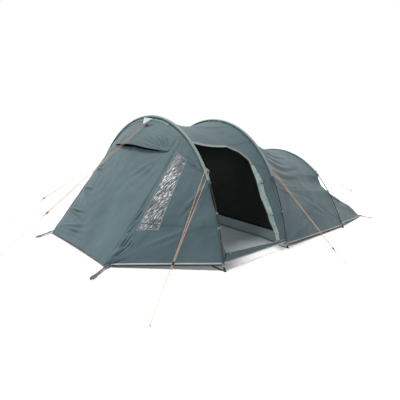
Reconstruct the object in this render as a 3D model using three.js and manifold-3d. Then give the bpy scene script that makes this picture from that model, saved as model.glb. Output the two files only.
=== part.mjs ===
// A tunnel tent for four people, pitched on three bent glass-fibre poles.
// Millimetres, +Z up. The tunnel runs along Y: the end with the vent and the window faces -Y,
// the bedroom is at +Y, and the open side door faces +X. The origin is on the ground,
// under the middle of the tent.

import * as THREE from 'three';
import Module from 'manifold-3d';
import { mergeVertices } from 'three/addons/utils/BufferGeometryUtils.js';

// ---------------------------------------------------------------- driving dimensions

// Distances along the tunnel are first counted from the front hoop, then moved to the origin.
const FRONT_HOOP_TO_ORIGIN = 1424;

// halfWidth: between the feet. lean: apex towards the rear, degrees. sleeveEnd: share of the
// pole's length, from either foot, where the sleeve stops. scallops: [from, to, depth] of the
// stretches of fabric edge that hang clear of the bare pole.
const HOOPS = {
  front: { y: 0, halfWidth: 1250, rise: 1348, lean: 2.7, sleeveEnd: 0.205, guy: 0.236,
    scallops: [[0.133, 0.205, 16], [0.02, 0.133, 12]] },
  middle: { y: 1110, halfWidth: 1255, rise: 1391, lean: -1.1, sleeveEnd: 0.2, guy: 0.228,
    scallops: [[0.104, 0.2, 16], [0.02, 0.104, 10]] },
  rear: { y: 2700, halfWidth: 1275, rise: 1044, lean: 0, sleeveEnd: 0.25, guy: 0.268,
    scallops: [[0.17, 0.25, 40], [0.02, 0.17, 14]] },
};
const POLE_DIAMETER = 11;
const SLEEVE_OUTER = 22;
const SLEEVE_INNER = 15;

const FLY_THICKNESS = 2;
const HEM = 0.018;                 // hem of the flysheet, as a share of the hoop's length
const PORCH_SAG = 90;              // dip of the fabric between the front and middle hoops
const BEDROOM_SAG = 140;           // and between the middle and rear hoops
const FRONT_CORNER = { x: 583, y: -809, z: 12 };
const REAR_CORNER = { x: 1153, y: 3808, z: 12 };
const CORNER_CUT = 30;             // a fabric corner is this wide where its loop is sewn on
const FRONT_HEM_ARCH = 26;         // the front hem rises this much between its corners
const REAR_SAG = 105;              // the rear end's fabric dips this much below a straight line
const SHOULDER_SEAM = 0.356;       // where the seam from a front corner meets the front hoop
const REAR_SEAM = 0.33;

// The edge of the door opening: [share of hoop length, share of the way to the middle hoop].
const DOOR_TOP = 0.33;
const DOOR_EDGE = [[0.33, 0.56], [0.302, 0.7], [0.268, 0.77], [0.225, 0.75], [0.15, 0.742],
  [0.088, 0.777], [0.05, 0.83]];
const BINDING_WIDTH = 34;
const SILL_TOP = [0.0395, 0.0245];   // at the front hoop and at the middle one
const FRONT_HEM = 0.013;
const ROLLED_DOOR_WIDTH = 0.085;   // share of the distance between the hoops
const ROLLED_DOOR_THICKNESS = 18;

// Corners of the window: [x, y, z] counted from the front hoop.
const WINDOW = [[563, -64, 1013], [692, -46, 940], [772, -411, 338], [638, -547, 320]];

const HOOD_SIDE = 0.37;            // the vent hood's sides, as a share of the hoop's length
const HOOD_TOP = 0.975;            // and its top and lip, as shares of the slope's length
const HOOD_LIP = 0.75;
const HOOD_LIP_RISE = 0.085;       // the lip curves up by this much at both ends
const HOOD_BULGE = 52;

const INNER_FRONT = 1150;
const INNER_REAR = 3260;
const INNER_INSET = 60;            // between the flysheet's hoops and the hanging inner tent
const INNER_BOTTOM = 0.072;        // lower edge of the inner tent, as a share of a hoop's length
const INNER_FLOOR_HALF_WIDTH = 1080;
const BATHTUB_HEIGHT = 145;
const PORCH_SHEET_WIDTH = 2130;
const SHEET_THICKNESS = 2;

const TAPE_WIDTH = 25;
const TAPE_THICKNESS = 1.5;
// Where the corner loops end, on the right and on the left side.
const FRONT_LOOPS = [{ x: 714, y: -1017 }, { x: 511, y: -987 }];
const REAR_LOOPS = [{ x: 1334, y: 3861 }, { x: 1334, y: 3861 }];
const LOOP_WIDTH = 26;
const LOOP_THICKNESS = 3;

const GUY_DIAMETER = 4;
const GUY_STRAND_GAP = 9;          // between the two strands where they run through the slider
const GUY_TAB_SPREAD = 46;         // and where they leave the tab on the sleeve
const SLIDER = { length: 30, width: 20, height: 8, bore: 5.4, travel: 150 };
const GUY_TAIL = 32;               // loose end below the slider
const PEG = { diameter: 5, stand: 26, hook: 9 };
const GAP = 0.4;                   // kept between pieces that touch

// ---------------------------------------------------------------- materials

const COLOURS = {
  fabric: 0x657a80, sleeve: 0x7d8f8f, trim: 0x9aa5a6, strip: 0x8ea39d, pole: 0x1c1e1f,
  inner: 0x15171a, floor: 0x5d6569, window: 0x9aa3a5, webbing: 0x4c5254, cord: 0xd9894e,
  plastic: 0x3a3d3f, steel: 0xa9adb0,
};

function material(colour, roughness = 0.75, metalness = 0) {
  return new THREE.MeshStandardMaterial({ color: COLOURS[colour], roughness, metalness });
}

// ---------------------------------------------------------------- shapes

const tent = new THREE.Group();
const pitch = new THREE.Group();   // everything counted from the front hoop
pitch.position.y = -FRONT_HOOP_TO_ORIGIN;
tent.add(pitch);

function add(name, geometry, meshMaterial) {
  const mesh = new THREE.Mesh(geometry, meshMaterial);
  mesh.name = name;
  pitch.add(mesh);
  return mesh;
}

const lerp = THREE.MathUtils.lerp;
const mix = (a, b, share) => a.clone().lerp(b, share);
const vec = (x, y, z) => new THREE.Vector3(x, y, z);

// A springy rod bent between two pinned feet takes the curve of an elastica: its curvature
// grows in proportion to its height above the line through the feet. The foot angle is found
// by halving, until rise over half-width is right.
function bentRod(halfWidth, rise) {
  const march = (footAngle) => {
    const step = 0.002;
    const points = [[0, 0]];
    let [x, z, angle] = [0, 0, footAngle];
    while (angle > 0) {
      angle -= step * z;
      x += step * Math.cos(angle);
      z += step * Math.sin(angle);
      points.push([x, z]);
    }
    return points;
  };
  let [low, high] = [0.3, 1.9];
  let points = [];
  for (let round = 0; round < 40; round += 1) {
    const middle = (low + high) / 2;
    points = march(middle);
    const [x, z] = points.at(-1);
    if (z / x < rise / halfWidth) low = middle;
    else high = middle;
  }
  const scale = halfWidth / points.at(-1)[0];
  const half = points.map(([x, z]) => new THREE.Vector2(halfWidth - x * scale, z * scale));
  const mirrored = half.slice(0, -1).reverse().map((point) => new THREE.Vector2(-point.x, point.y));
  return [...half, ...mirrored];
}

// at(share, inset): a point on the hoop, from the foot at +X (0) to the foot at -X (1),
// moved inwards in the hoop's own plane.
function makeHoop({ y, halfWidth, rise, lean, scallops }) {
  const points = bentRod(halfWidth, rise);
  const lengths = [0];
  points.slice(1).forEach((point, k) => lengths.push(lengths[k] + point.distanceTo(points[k])));
  const total = lengths.at(-1);
  const tilt = THREE.MathUtils.degToRad(lean);
  const at = (share, inset = 0) => {
    const kept = THREE.MathUtils.clamp(share, 0, 1);
    const place = kept * total;
    let k = Math.min(Math.floor(kept * (points.length - 1)), points.length - 2);
    while (k > 0 && lengths[k] > place) k -= 1;
    while (k < points.length - 2 && lengths[k + 1] < place) k += 1;
    const [a, b] = [points[k], points[k + 1]];
    const flat = a.clone().lerp(b, (place - lengths[k]) / (lengths[k + 1] - lengths[k]));
    const along = b.clone().sub(a).normalize();
    flat.x -= along.y * inset;
    flat.y += along.x * inset;
    return vec(flat.x, y + flat.y * Math.sin(tilt), flat.y * Math.cos(tilt));
  };
  // The fabric runs just inside the sleeve, and swings clear of the bare pole below it.
  const fabric = (share, extra = 0) => {
    const side = Math.min(share, 1 - share);
    let inset = SLEEVE_OUTER / 2 + 2 * GAP + extra;
    for (const [from, to, depth] of scallops) {
      if (side > from && side < to) inset += depth * Math.sin((Math.PI * (side - from)) / (to - from));
    }
    return at(share, inset);
  };
  return { at, fabric, total };
}

const hoops = Object.fromEntries(Object.entries(HOOPS).map(([name, sizes]) => [name, makeHoop(sizes)]));

// A smooth path that a sweep follows with one cross-section at each of its points.
class Route extends THREE.CatmullRomCurve3 {
  constructor(points) {
    super(points, false, 'centripetal');
  }

  getPointAt(share) {
    return this.getPoint(share);
  }

  getTangentAt(share) {
    return this.getTangent(share);
  }
}

function sweep(shape, points) {
  return new THREE.ExtrudeGeometry(shape, {
    steps: points.length - 1, curveSegments: 4, bevelEnabled: false, extrudePath: new Route(points),
  });
}

function ringShape(outer, inner) {
  const shape = new THREE.Shape().absarc(0, 0, outer, 0, 2 * Math.PI, false);
  if (inner) shape.holes.push(new THREE.Path().absarc(0, 0, inner, 0, 2 * Math.PI, true));
  return shape;
}

// A sheet of even thickness over surface(u, v), u and v from 0 to 1. `inside` is a point on the
// inner side. lift(u, v) raises the outer face, and base the inner face, above the surface.
function sheet(surface, columns, rows, { inside, lift = () => 0, base = -FLY_THICKNESS }) {
  const nudge = 1e-3;
  const positions = [];
  const faces = [[], []];
  for (let row = 0; row <= rows; row += 1) {
    for (let column = 0; column <= columns; column += 1) {
      const [u, v] = [column / columns, row / rows];
      const [u0, u1] = [Math.max(u - nudge, 0), Math.min(u + nudge, 1)];
      const [v0, v1] = [Math.max(v - nudge, 0), Math.min(v + nudge, 1)];
      const point = surface(u, v);
      const across = surface(u1, v).sub(surface(u0, v));
      const normal = across.cross(surface(u, v1).sub(surface(u, v0))).normalize();
      if (normal.dot(point.clone().sub(inside)) < 0) normal.negate();
      faces[0].push(point.clone().addScaledVector(normal, lift(u, v)));
      faces[1].push(point.clone().addScaledVector(normal, base));
    }
  }
  faces.flat().forEach((point) => positions.push(point.x, point.y, point.z));
  const count = faces[0].length;
  const at = (column, row) => row * (columns + 1) + column;
  const index = [];
  const quad = (a, b, c, d) => index.push(a, b, c, a, c, d);
  for (let row = 0; row < rows; row += 1) {
    for (let column = 0; column < columns; column += 1) {
      const [a, b] = [at(column, row), at(column + 1, row)];
      const [c, d] = [at(column + 1, row + 1), at(column, row + 1)];
      quad(a, b, c, d);
      quad(a + count, d + count, c + count, b + count);
    }
  }
  const edge = [];
  for (let column = 0; column < columns; column += 1) edge.push(at(column, 0));
  for (let row = 0; row < rows; row += 1) edge.push(at(columns, row));
  for (let column = columns; column > 0; column -= 1) edge.push(at(column, rows));
  for (let row = rows; row > 0; row -= 1) edge.push(at(0, row));
  edge.forEach((a, k) => {
    const b = edge[(k + 1) % edge.length];
    quad(b, a, a + count, b + count);
  });
  const geometry = new THREE.BufferGeometry();
  geometry.setAttribute('position', new THREE.Float32BufferAttribute(positions, 3));
  geometry.setIndex(index);
  return facingOut(geometry);
}

// Turns a closed indexed geometry the right way round.
function facingOut(geometry) {
  const position = geometry.getAttribute('position');
  const index = Array.from(geometry.index.array);
  const [a, b, c] = [vec(), vec(), vec()];
  let volume = 0;
  for (let k = 0; k < index.length; k += 3) {
    a.fromBufferAttribute(position, index[k]);
    b.fromBufferAttribute(position, index[k + 1]);
    c.fromBufferAttribute(position, index[k + 2]);
    volume += a.dot(b.cross(c));
  }
  if (volume < 0) geometry.setIndex(index.reverse());
  geometry.computeVertexNormals();
  return geometry;
}

const wasm = await Module();
wasm.setup();

function solid(geometry, matrix = new THREE.Matrix4()) {
  const bare = geometry.clone().applyMatrix4(matrix);
  bare.deleteAttribute('normal');
  bare.deleteAttribute('uv');
  const merged = mergeVertices(bare, 1e-4);
  return new wasm.Manifold(new wasm.Mesh({
    numProp: 3,
    vertProperties: new Float32Array(merged.getAttribute('position').array),
    triVerts: new Uint32Array(merged.index.array),
  }));
}

function fromSolid(body) {
  const mesh = body.getMesh();
  const geometry = new THREE.BufferGeometry();
  geometry.setAttribute('position', new THREE.Float32BufferAttribute(mesh.vertProperties, 3));
  geometry.setIndex(Array.from(mesh.triVerts));
  geometry.computeVertexNormals();
  return geometry;
}

// ---------------------------------------------------------------- poles, sleeves and feet

function poles() {
  const pole = ringShape(POLE_DIAMETER / 2);
  const sleeve = ringShape(SLEEVE_OUTER / 2, SLEEVE_INNER / 2);
  for (const [name, hoop] of Object.entries(hoops)) {
    const along = (from, to, count) => Array.from({ length: count + 1 },
      (_, k) => hoop.at(lerp(from, to, k / count)));
    const { sleeveEnd } = HOOPS[name];
    const end = 14 / hoop.total;
    add(`${name}_pole`, sweep(pole, along(end, 1 - end, 36)), material('pole', 0.35));
    add(`${name}_sleeve`, sweep(sleeve, along(sleeveEnd, 1 - sleeveEnd, 24)), material('sleeve'));
    foot(`${name}_right_foot`, hoop, 0);
    foot(`${name}_left_foot`, hoop, 1);
    crossTape(name);
  }
}

// A moulded cup that holds the end of a pole, cut off flat at the ground.
function foot(name, hoop, share) {
  const bottom = hoop.at(share);
  const up = hoop.at(share ? 0.98 : 0.02).sub(bottom).normalize();
  const profile = [[0, -8], [13, -8], [13, 4], [10.5, 12], [10.5, 34], [7, 34], [7, 12.5], [0, 12.5]];
  const cup = new THREE.LatheGeometry(profile.map(([r, h]) => new THREE.Vector2(r, h)), 12);
  const place = new THREE.Matrix4().makeRotationFromQuaternion(
    new THREE.Quaternion().setFromUnitVectors(vec(0, 1, 0), up));
  place.setPosition(bottom);
  const ground = new THREE.BoxGeometry(80, 80, 60);
  const below = new THREE.Matrix4().makeTranslation(bottom.x, bottom.y, -30);
  add(name, fromSolid(solid(cup, place).subtract(solid(ground, below))), material('plastic', 0.5));
}

// The tape on the ground that holds the two feet of a hoop apart from spreading.
function crossTape(name) {
  const { y, halfWidth } = HOOPS[name];
  const length = 2 * (halfWidth - 19);
  const tape = new THREE.BoxGeometry(length, TAPE_WIDTH, TAPE_THICKNESS);
  add(`${name}_cross_tape`, tape, material('webbing')).position.set(0, y, TAPE_THICKNESS / 2);
}

// ---------------------------------------------------------------- flysheet

// Fabric stretched between two hoops dips between them, most at the ridge.
function between(hoopA, hoopB, sag, extra = 0) {
  return (share, along) => {
    const point = mix(hoopA.fabric(share, extra), hoopB.fabric(share, extra), along);
    const inwards = vec(-point.x, 0, 350 - point.z).normalize();
    const loose = Math.max(0, (point.z - 200) / 1200);
    return point.addScaledVector(inwards, sag * 4 * along * (1 - along) * loose);
  };
}

// Fabric from a hoop down to a shorter hem with a corner at each end.
function slope(hoop, corner, seam, arch, sag = 0) {
  const sign = Math.sign(corner.y - hoop.at(0.5).y);
  return (share, up) => {
    const top = hoop.fabric(share);
    const side = share < 0.5 ? 1 : -1;
    const fromFoot = Math.min(share, 1 - share);
    let base;
    if (fromFoot < seam) {
      const turn = fromFoot / seam;
      const [inwards, back] = [CORNER_CUT * turn, CORNER_CUT * (1 - turn)];
      base = vec(side * (corner.x - inwards), corner.y - sign * back, corner.z);
    } else {
      const across = (share - 0.5) / (0.5 - seam);
      const width = corner.x - CORNER_CUT;
      base = vec(-across * width, corner.y, corner.z + arch * (1 - across * across));
    }
    const point = mix(base, top, up);
    const inwards = vec(-point.x, hoop.at(0.5).y - point.y, 250 - point.z).normalize();
    const loose = THREE.MathUtils.clamp((point.z - 150) / 100, 0, 1);
    return point.addScaledVector(inwards, sag * loose * 5.38 * up ** 1.5 * (1 - up));
  };
}

const porch = between(hoops.front, hoops.middle, PORCH_SAG);
const bedroom = between(hoops.middle, hoops.rear, BEDROOM_SAG);
const frontSlope = slope(hoops.front, FRONT_CORNER, SHOULDER_SEAM, FRONT_HEM_ARCH);
const rearSlope = slope(hoops.rear, REAR_CORNER, REAR_SEAM, FRONT_HEM_ARCH, REAR_SAG);

// Sections of the flysheet meet under the sleeves with this share of their length between them.
const MEET = 0.0008;

// Takes the part of a surface between two shares of each direction.
function region(surface, [s0, s1], [t0, t1]) {
  return (u, v) => surface(lerp(s0, s1, u), lerp(t0, t1, v));
}

// The share of the hoops' length at the top of the sill, which falls towards the middle hoop.
function sillTop(way) {
  return lerp(...SILL_TOP, way);
}

function doorEdge(share) {
  const k = DOOR_EDGE.findIndex(([s]) => s <= share);
  if (k <= 0) return DOOR_EDGE[k === 0 ? 0 : DOOR_EDGE.length - 1][1];
  const [[s0, t0], [s1, t1]] = [DOOR_EDGE[k - 1], DOOR_EDGE[k]];
  return lerp(t0, t1, (share - s0) / (s1 - s0));
}

function flysheet() {
  const fabric = material('fabric');
  const tunnel = (y) => vec(0, y, 300);
  const open = [MEET, 1 - MEET];

  add('porch_fly', sheet(region(porch, [DOOR_TOP + 0.005, 1 - HEM], open), 18, 6,
    { inside: tunnel(555) }), fabric);
  const jamb = (u, v) => {
    const foot = sillTop(lerp(doorEdge(0), 1 - MEET, v)) + 0.002;
    const share = lerp(foot, DOOR_TOP + 0.004, u);
    return porch(share, lerp(doorEdge(share), 1 - MEET, v));
  };
  const sill = (u, v) => {
    const way = lerp(MEET, 1 - MEET, v);
    return porch(lerp(HEM, sillTop(way), u), way);
  };
  add('door_jamb_fly', sheet(jamb, 12, 2, { inside: tunnel(555) }), fabric.clone());
  add('door_sill', sheet(sill, 2, 5, { inside: tunnel(555) }), fabric.clone());

  add('bedroom_right_fly', sheet(region(bedroom, [HEM, 0.4998], open), 14, 7,
    { inside: tunnel(1900) }), fabric.clone());
  add('bedroom_left_fly', sheet(region(bedroom, [0.5002, 1 - HEM], open), 14, 7,
    { inside: tunnel(1900) }), fabric.clone());

  const slopeOpen = [0, 0.9972];   // the slopes stop just short of the fabric over the hoops
  add('rear_fly', sheet(region(rearSlope, [HEM, 1 - HEM], slopeOpen), 26, 6,
    { inside: tunnel(2700) }), fabric.clone());
  const edge = 0.0006;
  const centre = region(frontSlope, [SHOULDER_SEAM + edge, 1 - SHOULDER_SEAM - edge], slopeOpen);
  add('front_fly_centre', sheet(centre, 10, 5, { inside: tunnel(0) }), fabric.clone());
  add('front_fly_left', sheet(region(frontSlope, [1 - SHOULDER_SEAM + edge, 1 - FRONT_HEM], slopeOpen), 9, 4,
    { inside: tunnel(0) }), fabric.clone());
  const right = solid(sheet(region(frontSlope, [FRONT_HEM, SHOULDER_SEAM - edge], slopeOpen), 9, 4,
    { inside: tunnel(0) }));
  add('front_fly_right', fromSolid(right.subtract(windowBlock(0))), fabric.clone());
  add('window_pane', fromSolid(right.intersect(windowBlock(GAP))), material('window', 0.2));
}

// A block through the front slope with the window's outline, drawn in by `gap` or more all round.
function windowBlock(gap) {
  const corners = WINDOW.map((corner) => vec(...corner));
  const centre = vec(0, 0, 0);
  corners.forEach((corner) => centre.addScaledVector(corner, 1 / corners.length));
  const across = corners[1].clone().sub(corners[0]).normalize();
  const normal = across.clone().cross(corners[3].clone().sub(corners[0])).normalize();
  const down = normal.clone().cross(across);
  const outline = corners.map((corner, k) => {
    const [before, after] = [corners.at(k - 1), corners[(k + 1) % corners.length]];
    const inner = corner.clone();
    for (const next of [before, after]) {
      inner.addScaledVector(next.clone().sub(corner).normalize(), 1.5 * gap);
    }
    const offset = inner.sub(centre);
    return new THREE.Vector2(offset.dot(across), offset.dot(down));
  });
  const depth = 300;
  const block = new THREE.ExtrudeGeometry(new THREE.Shape(outline), { depth, bevelEnabled: false });
  const place = new THREE.Matrix4().makeBasis(across, down, normal);
  place.setPosition(centre.addScaledVector(normal, -depth / 2));
  return solid(block, place);
}

// ---------------------------------------------------------------- door, hood

// A strip along the door's edge: the bound storm flap over the opening. It runs level along the
// top of the door, then turns down with the slanted part of the edge.
function doorBinding() {
  const turn = 0.62;               // share of the strip's length taken by the level top edge
  const end = 0.235;               // share of the hoops' length where the slanted part ends
  const rise = BINDING_WIDTH / hoops.front.total;
  const reach = BINDING_WIDTH / HOOPS.middle.y;
  const strip = (u, v) => {
    if (u < turn) {
      return porch(DOOR_TOP + rise * (v - 0.5), lerp(0.01, doorEdge(DOOR_TOP), u / turn));
    }
    const done = (u - turn) / (1 - turn);
    const share = lerp(DOOR_TOP - rise / 2, end, done);
    return porch(share + rise * v * (1 - done), doorEdge(share) + reach * v * done);
  };
  add('door_binding', sheet(strip, 18, 1, { inside: vec(0, 555, 300), lift: () => 6, base: 3 }),
    material('trim'));
}

// The door, turned back beside the middle hoop and tied there by two toggles.
const rolledDoor = (u, v) => {
  const share = lerp(0.232, sillTop(0.87) + 0.003, u);
  return porch(share, doorEdge(share) + ROLLED_DOOR_WIDTH * v);
};

function door() {
  const full = (u, v) => 3 + ROLLED_DOOR_THICKNESS * Math.sqrt(Math.max(0.04, Math.sin(Math.PI * v)));
  add('rolled_door', sheet(rolledDoor, 12, 4, { inside: vec(0, 555, 300), lift: full, base: 4 }),
    material('strip'));
  ['upper', 'lower'].forEach((name, k) => toggle(`${name}_door_toggle`, k ? 0.66 : 0.2));
  zipSlider();
}

// A barrel toggle that turns on the rolled door, about the line square to the fabric.
function toggle(name, along) {
  const centre = rolledDoor(along, 0.5);
  const down = rolledDoor(along + 0.02, 0.5).sub(centre).normalize();
  const across = rolledDoor(along, 0.6).sub(centre).normalize();
  const normal = across.clone().cross(down).normalize();
  if (normal.x < 0) normal.negate();
  const profile = [[0, -19], [3.5, -19], [5, -16], [3.6, -4], [3.6, 4], [5, 16], [3.5, 19], [0, 19]];
  const barrel = new THREE.LatheGeometry(profile.map(([r, h]) => new THREE.Vector2(r, h)), 10);
  const lifted = centre.clone().addScaledVector(normal, 3 + ROLLED_DOOR_THICKNESS + 7);
  const mesh = add(name, barrel, material('plastic', 0.5));
  mesh.position.copy(lifted);
  mesh.quaternion.setFromRotationMatrix(
    new THREE.Matrix4().makeBasis(normal, across, normal.clone().cross(across)));
}

// The slider of the zip along the top of the sill.
function zipSlider() {
  const start = porch(sillTop(0.11) - 0.003, 0.11);
  const end = porch(sillTop(0.7) - 0.003, 0.7);
  const along = end.clone().sub(start).normalize();
  const shape = new THREE.Shape([[-5, -5], [5, -6], [6, 0], [5, 6], [-5, 5], [-8, 0]]
    .map(([x, y]) => new THREE.Vector2(x, y)));
  const body = new THREE.ExtrudeGeometry(shape, { depth: 5, bevelEnabled: false });
  const mesh = add('sill_zip_slider', body, material('trim', 0.4));
  const outwards = vec(1, 0, 0.33).normalize();
  const upwards = outwards.clone().cross(along).normalize();
  const square = along.clone().cross(upwards).normalize();
  mesh.quaternion.setFromRotationMatrix(new THREE.Matrix4().makeBasis(along, upwards, square));
  mesh.position.copy(start).addScaledVector(square, 3);
}

function hood() {
  const surface = (u, v) => {
    const share = lerp(HOOD_SIDE, 1 - HOOD_SIDE, u);
    const lip = HOOD_LIP + HOOD_LIP_RISE * (1 - Math.sin(Math.PI * u)) ** 1.5;
    return frontSlope(share, lerp(HOOD_TOP, lip, v));
  };
  const bulge = (u, v) => 3 + HOOD_BULGE * Math.sin(Math.PI * u) * Math.sin((Math.PI / 2) * v);
  const bowed = (u, v) => {
    const point = surface(u, v);
    const out = vec(0, -0.84, 0.54);
    return point.addScaledVector(out, bulge(u, v));
  };
  add('vent_hood', sheet(bowed, 14, 6, { inside: vec(0, 200, 300) }), material('fabric'));
}

// ---------------------------------------------------------------- inner tent and groundsheets

function innerTent() {
  const hung = between(hoops.middle, hoops.rear, BEDROOM_SAG, INNER_INSET);
  const share = (u) => lerp(INNER_BOTTOM, 1 - INNER_BOTTOM, u);
  const foot = BATHTUB_HEIGHT + 12;

  const wall = (u, v) => {
    const top = hung(share(u), 0);
    return vec(top.x, INNER_FRONT, lerp(foot, Math.max(top.z, foot + 5), v));
  };
  add('inner_front_wall', sheet(wall, 20, 1, { inside: vec(0, 3000, 600) }), material('inner', 0.9));

  // The canopy hangs from the middle hoop to the rear hoop, then slopes down behind. Start and
  // end are shares of the way between the hoops; turn is the share of its rows up to there.
  const [start, end, turn] = [0.05, 0.985, 0.6];
  const canopy = (u, v) => {
    const top = hung(share(u), lerp(start, end, Math.min(v / turn, 1)));
    if (v < turn) return top;
    const back = vec((INNER_FLOOR_HALF_WIDTH - 100) * (1 - 2 * u), INNER_REAR, foot);
    return mix(top, back, (v - turn) / (1 - turn));
  };
  add('inner_canopy', sheet(canopy, 16, 5, { inside: vec(0, 2100, 0) }), material('inner', 0.9));

  add('inner_floor', tray(), material('floor'));

  const [front, rear] = [15, INNER_FRONT - 5];
  const mat = new THREE.BoxGeometry(PORCH_SHEET_WIDTH, rear - front, SHEET_THICKNESS);
  add('porch_groundsheet', mat, material('floor')).position.set(0, (front + rear) / 2, 3);
}

// The bedroom's groundsheet is a shallow tray with upright sides, on top of the cross tapes.
function tray() {
  const base = TAPE_THICKNESS + GAP;
  const length = INNER_REAR - INNER_FRONT;
  const [width, wall] = [2 * INNER_FLOOR_HALF_WIDTH, 3];
  const middle = INNER_FRONT + length / 2;
  const at = (z) => new THREE.Matrix4().makeTranslation(0, middle, z);
  const block = solid(new THREE.BoxGeometry(width, length, BATHTUB_HEIGHT), at(base + BATHTUB_HEIGHT / 2));
  const hollow = new THREE.BoxGeometry(width - 2 * wall, length - 2 * wall, BATHTUB_HEIGHT);
  return fromSolid(block.subtract(solid(hollow, at(base + SHEET_THICKNESS + BATHTUB_HEIGHT / 2))));
}

// ---------------------------------------------------------------- corner loops

// Webbing sewn to a fabric corner, with an eye for a peg at its far end.
function cornerLoop(name, corner, side, end) {
  const reach = vec(side * (end.x - corner.x), end.y - corner.y, 0);
  const length = reach.length();
  reach.normalize();
  const half = LOOP_WIDTH / 2;
  const outline = new THREE.Shape();
  outline.moveTo(0, -half).lineTo(length - half, -half);
  outline.absarc(length - half, 0, half, -Math.PI / 2, Math.PI / 2, false);
  outline.lineTo(0, half);
  const eye = new THREE.Path();
  const [eyeStart, eyeEnd, eyeRadius] = [length - 68, length - 17, 9];
  eye.absarc(eyeStart, 0, eyeRadius, Math.PI / 2, (3 * Math.PI) / 2, false);
  eye.absarc(eyeEnd, 0, eyeRadius, -Math.PI / 2, Math.PI / 2, false);
  outline.holes.push(eye);
  const webbing = new THREE.ExtrudeGeometry(outline,
    { depth: LOOP_THICKNESS, bevelEnabled: false, curveSegments: 6 });
  const mesh = add(name, webbing, material('webbing'));
  mesh.position.set(side * corner.x, corner.y, 4).addScaledVector(reach, 4);
  mesh.rotation.z = Math.atan2(reach.y, reach.x);
}

function cornerLoops() {
  for (const [k, [side, word]] of [[1, 'right'], [-1, 'left']].entries()) {
    cornerLoop(`front_${word}_corner_loop`, FRONT_CORNER, side, FRONT_LOOPS[k]);
    cornerLoop(`rear_${word}_corner_loop`, REAR_CORNER, side, REAR_LOOPS[k]);
  }
}

// ---------------------------------------------------------------- guylines

// tab: where the line leaves the sleeve. peg: on the ground. slide: share of the way up from
// the peg where the slider sits. spread: the way in which the two strands part at the tab.
function guyTab(name, side, share = HOOPS[name].guy) {
  return hoops[name].at(side > 0 ? share : 1 - share, -SLEEVE_OUTER / 2 - 10);
}

const GUYS = {
  front_right: { tab: guyTab('front', 1), peg: [1523, -1042], slide: 0.3, spread: vec(-0.6, 0, 0.8) },
  front_left: {
    tab: guyTab('front', -1, 0.208), peg: [-1200, -1050], slide: 0.34, spread: vec(0.6, 0, 0.8),
  },
  front_centre: { tab: vec(-15, -22, 1258), peg: [0, -1520], slide: 0.3, spread: vec(1, 0, 0) },
  middle_right: { tab: guyTab('middle', 1), peg: [1870, 1169], slide: 0.13, spread: vec(0, 1, 0) },
  middle_left: { tab: guyTab('middle', -1), peg: [-1870, 1169], slide: 0.13, spread: vec(0, 1, 0) },
  rear_right: { tab: guyTab('rear', 1), peg: [1635, 4330], slide: 0.62, spread: vec(-0.7, 0, 0.7) },
  rear_left: { tab: guyTab('rear', -1), peg: [-1635, 4330], slide: 0.62, spread: vec(0.7, 0, 0.7) },
};

// Up from the peg through the slider to the tab, across the tab, and back down to the slider.
function guyRoute({ tab, peg: [x, y], slide, spread }) {
  const hook = vec(x, y, PEG.stand - 6);
  const up = tab.clone().sub(hook).normalize();
  const start = hook.clone().addScaledVector(up, PEG.diameter / 2 + GUY_DIAMETER / 2 + 2);
  const length = tab.distanceTo(start);
  const aside = spread.clone().addScaledVector(up, -spread.dot(up)).normalize();
  const centre = slide * length;
  const parallelTo = centre + SLIDER.length / 2 + SLIDER.travel + 8;
  const half = (distance) => {
    const open = THREE.MathUtils.clamp((distance - parallelTo) / (length - parallelTo), 0, 1);
    return lerp(GUY_STRAND_GAP, GUY_TAB_SPREAD, open) / 2;
  };
  const at = (distance, side) => start.clone().addScaledVector(up, distance)
    .addScaledVector(aside, side * half(distance));
  const stops = [0, 0.08, 0.2, 0.4, 0.7, 0.96, 1].map((share) => share * parallelTo);
  const upper = [0.15, 0.35, 0.55, 0.75, 0.9].map((share) => lerp(parallelTo, length, share));
  const corner = length - 16;
  const top = [0.75, 0.25, -0.25, -0.75].map((side) => at(length, side));
  const distances = [...stops, ...upper, corner];
  const back = distances.filter((distance) => distance > centre - SLIDER.length / 2).reverse();
  const tail = centre - SLIDER.length / 2 - GUY_TAIL;
  return {
    points: [...distances.map((distance) => at(distance, 1)), ...top,
      ...back.map((distance) => at(distance, -1)), at(tail, -1)],
    slider: start.clone().addScaledVector(up, centre), up, aside,
  };
}

function guyline(name, guy) {
  const { points, slider, up, aside } = guyRoute(guy);
  add(`${name}_guyline`, sweep(ringShape(GUY_DIAMETER / 2), points), material('cord', 0.6));

  const { length, width, height, bore } = SLIDER;
  const shape = new THREE.Shape();
  const [halfWidth, halfHeight, round] = [width / 2, height / 2, 2.5];
  shape.moveTo(-halfWidth + round, -halfHeight).lineTo(halfWidth - round, -halfHeight);
  shape.lineTo(halfWidth, -halfHeight + round).lineTo(halfWidth, halfHeight - round);
  shape.lineTo(halfWidth - round, halfHeight).lineTo(-halfWidth + round, halfHeight);
  shape.lineTo(-halfWidth, halfHeight - round).lineTo(-halfWidth, -halfHeight + round);
  for (const side of [-1, 1]) {
    const hole = new THREE.Path().absarc((side * GUY_STRAND_GAP) / 2, 0, bore / 2, 0, 2 * Math.PI, true);
    shape.holes.push(hole);
  }
  const block = new THREE.ExtrudeGeometry(shape, { depth: length, bevelEnabled: false, curveSegments: 5 });
  const mesh = add(`${name}_slider`, block, material('plastic', 0.45));
  mesh.quaternion.setFromRotationMatrix(
    new THREE.Matrix4().makeBasis(aside, up.clone().cross(aside), up));
  mesh.position.copy(slider).addScaledVector(up, -length / 2);
  peg(`${name}_peg`, guy.peg, up);
}

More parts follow.
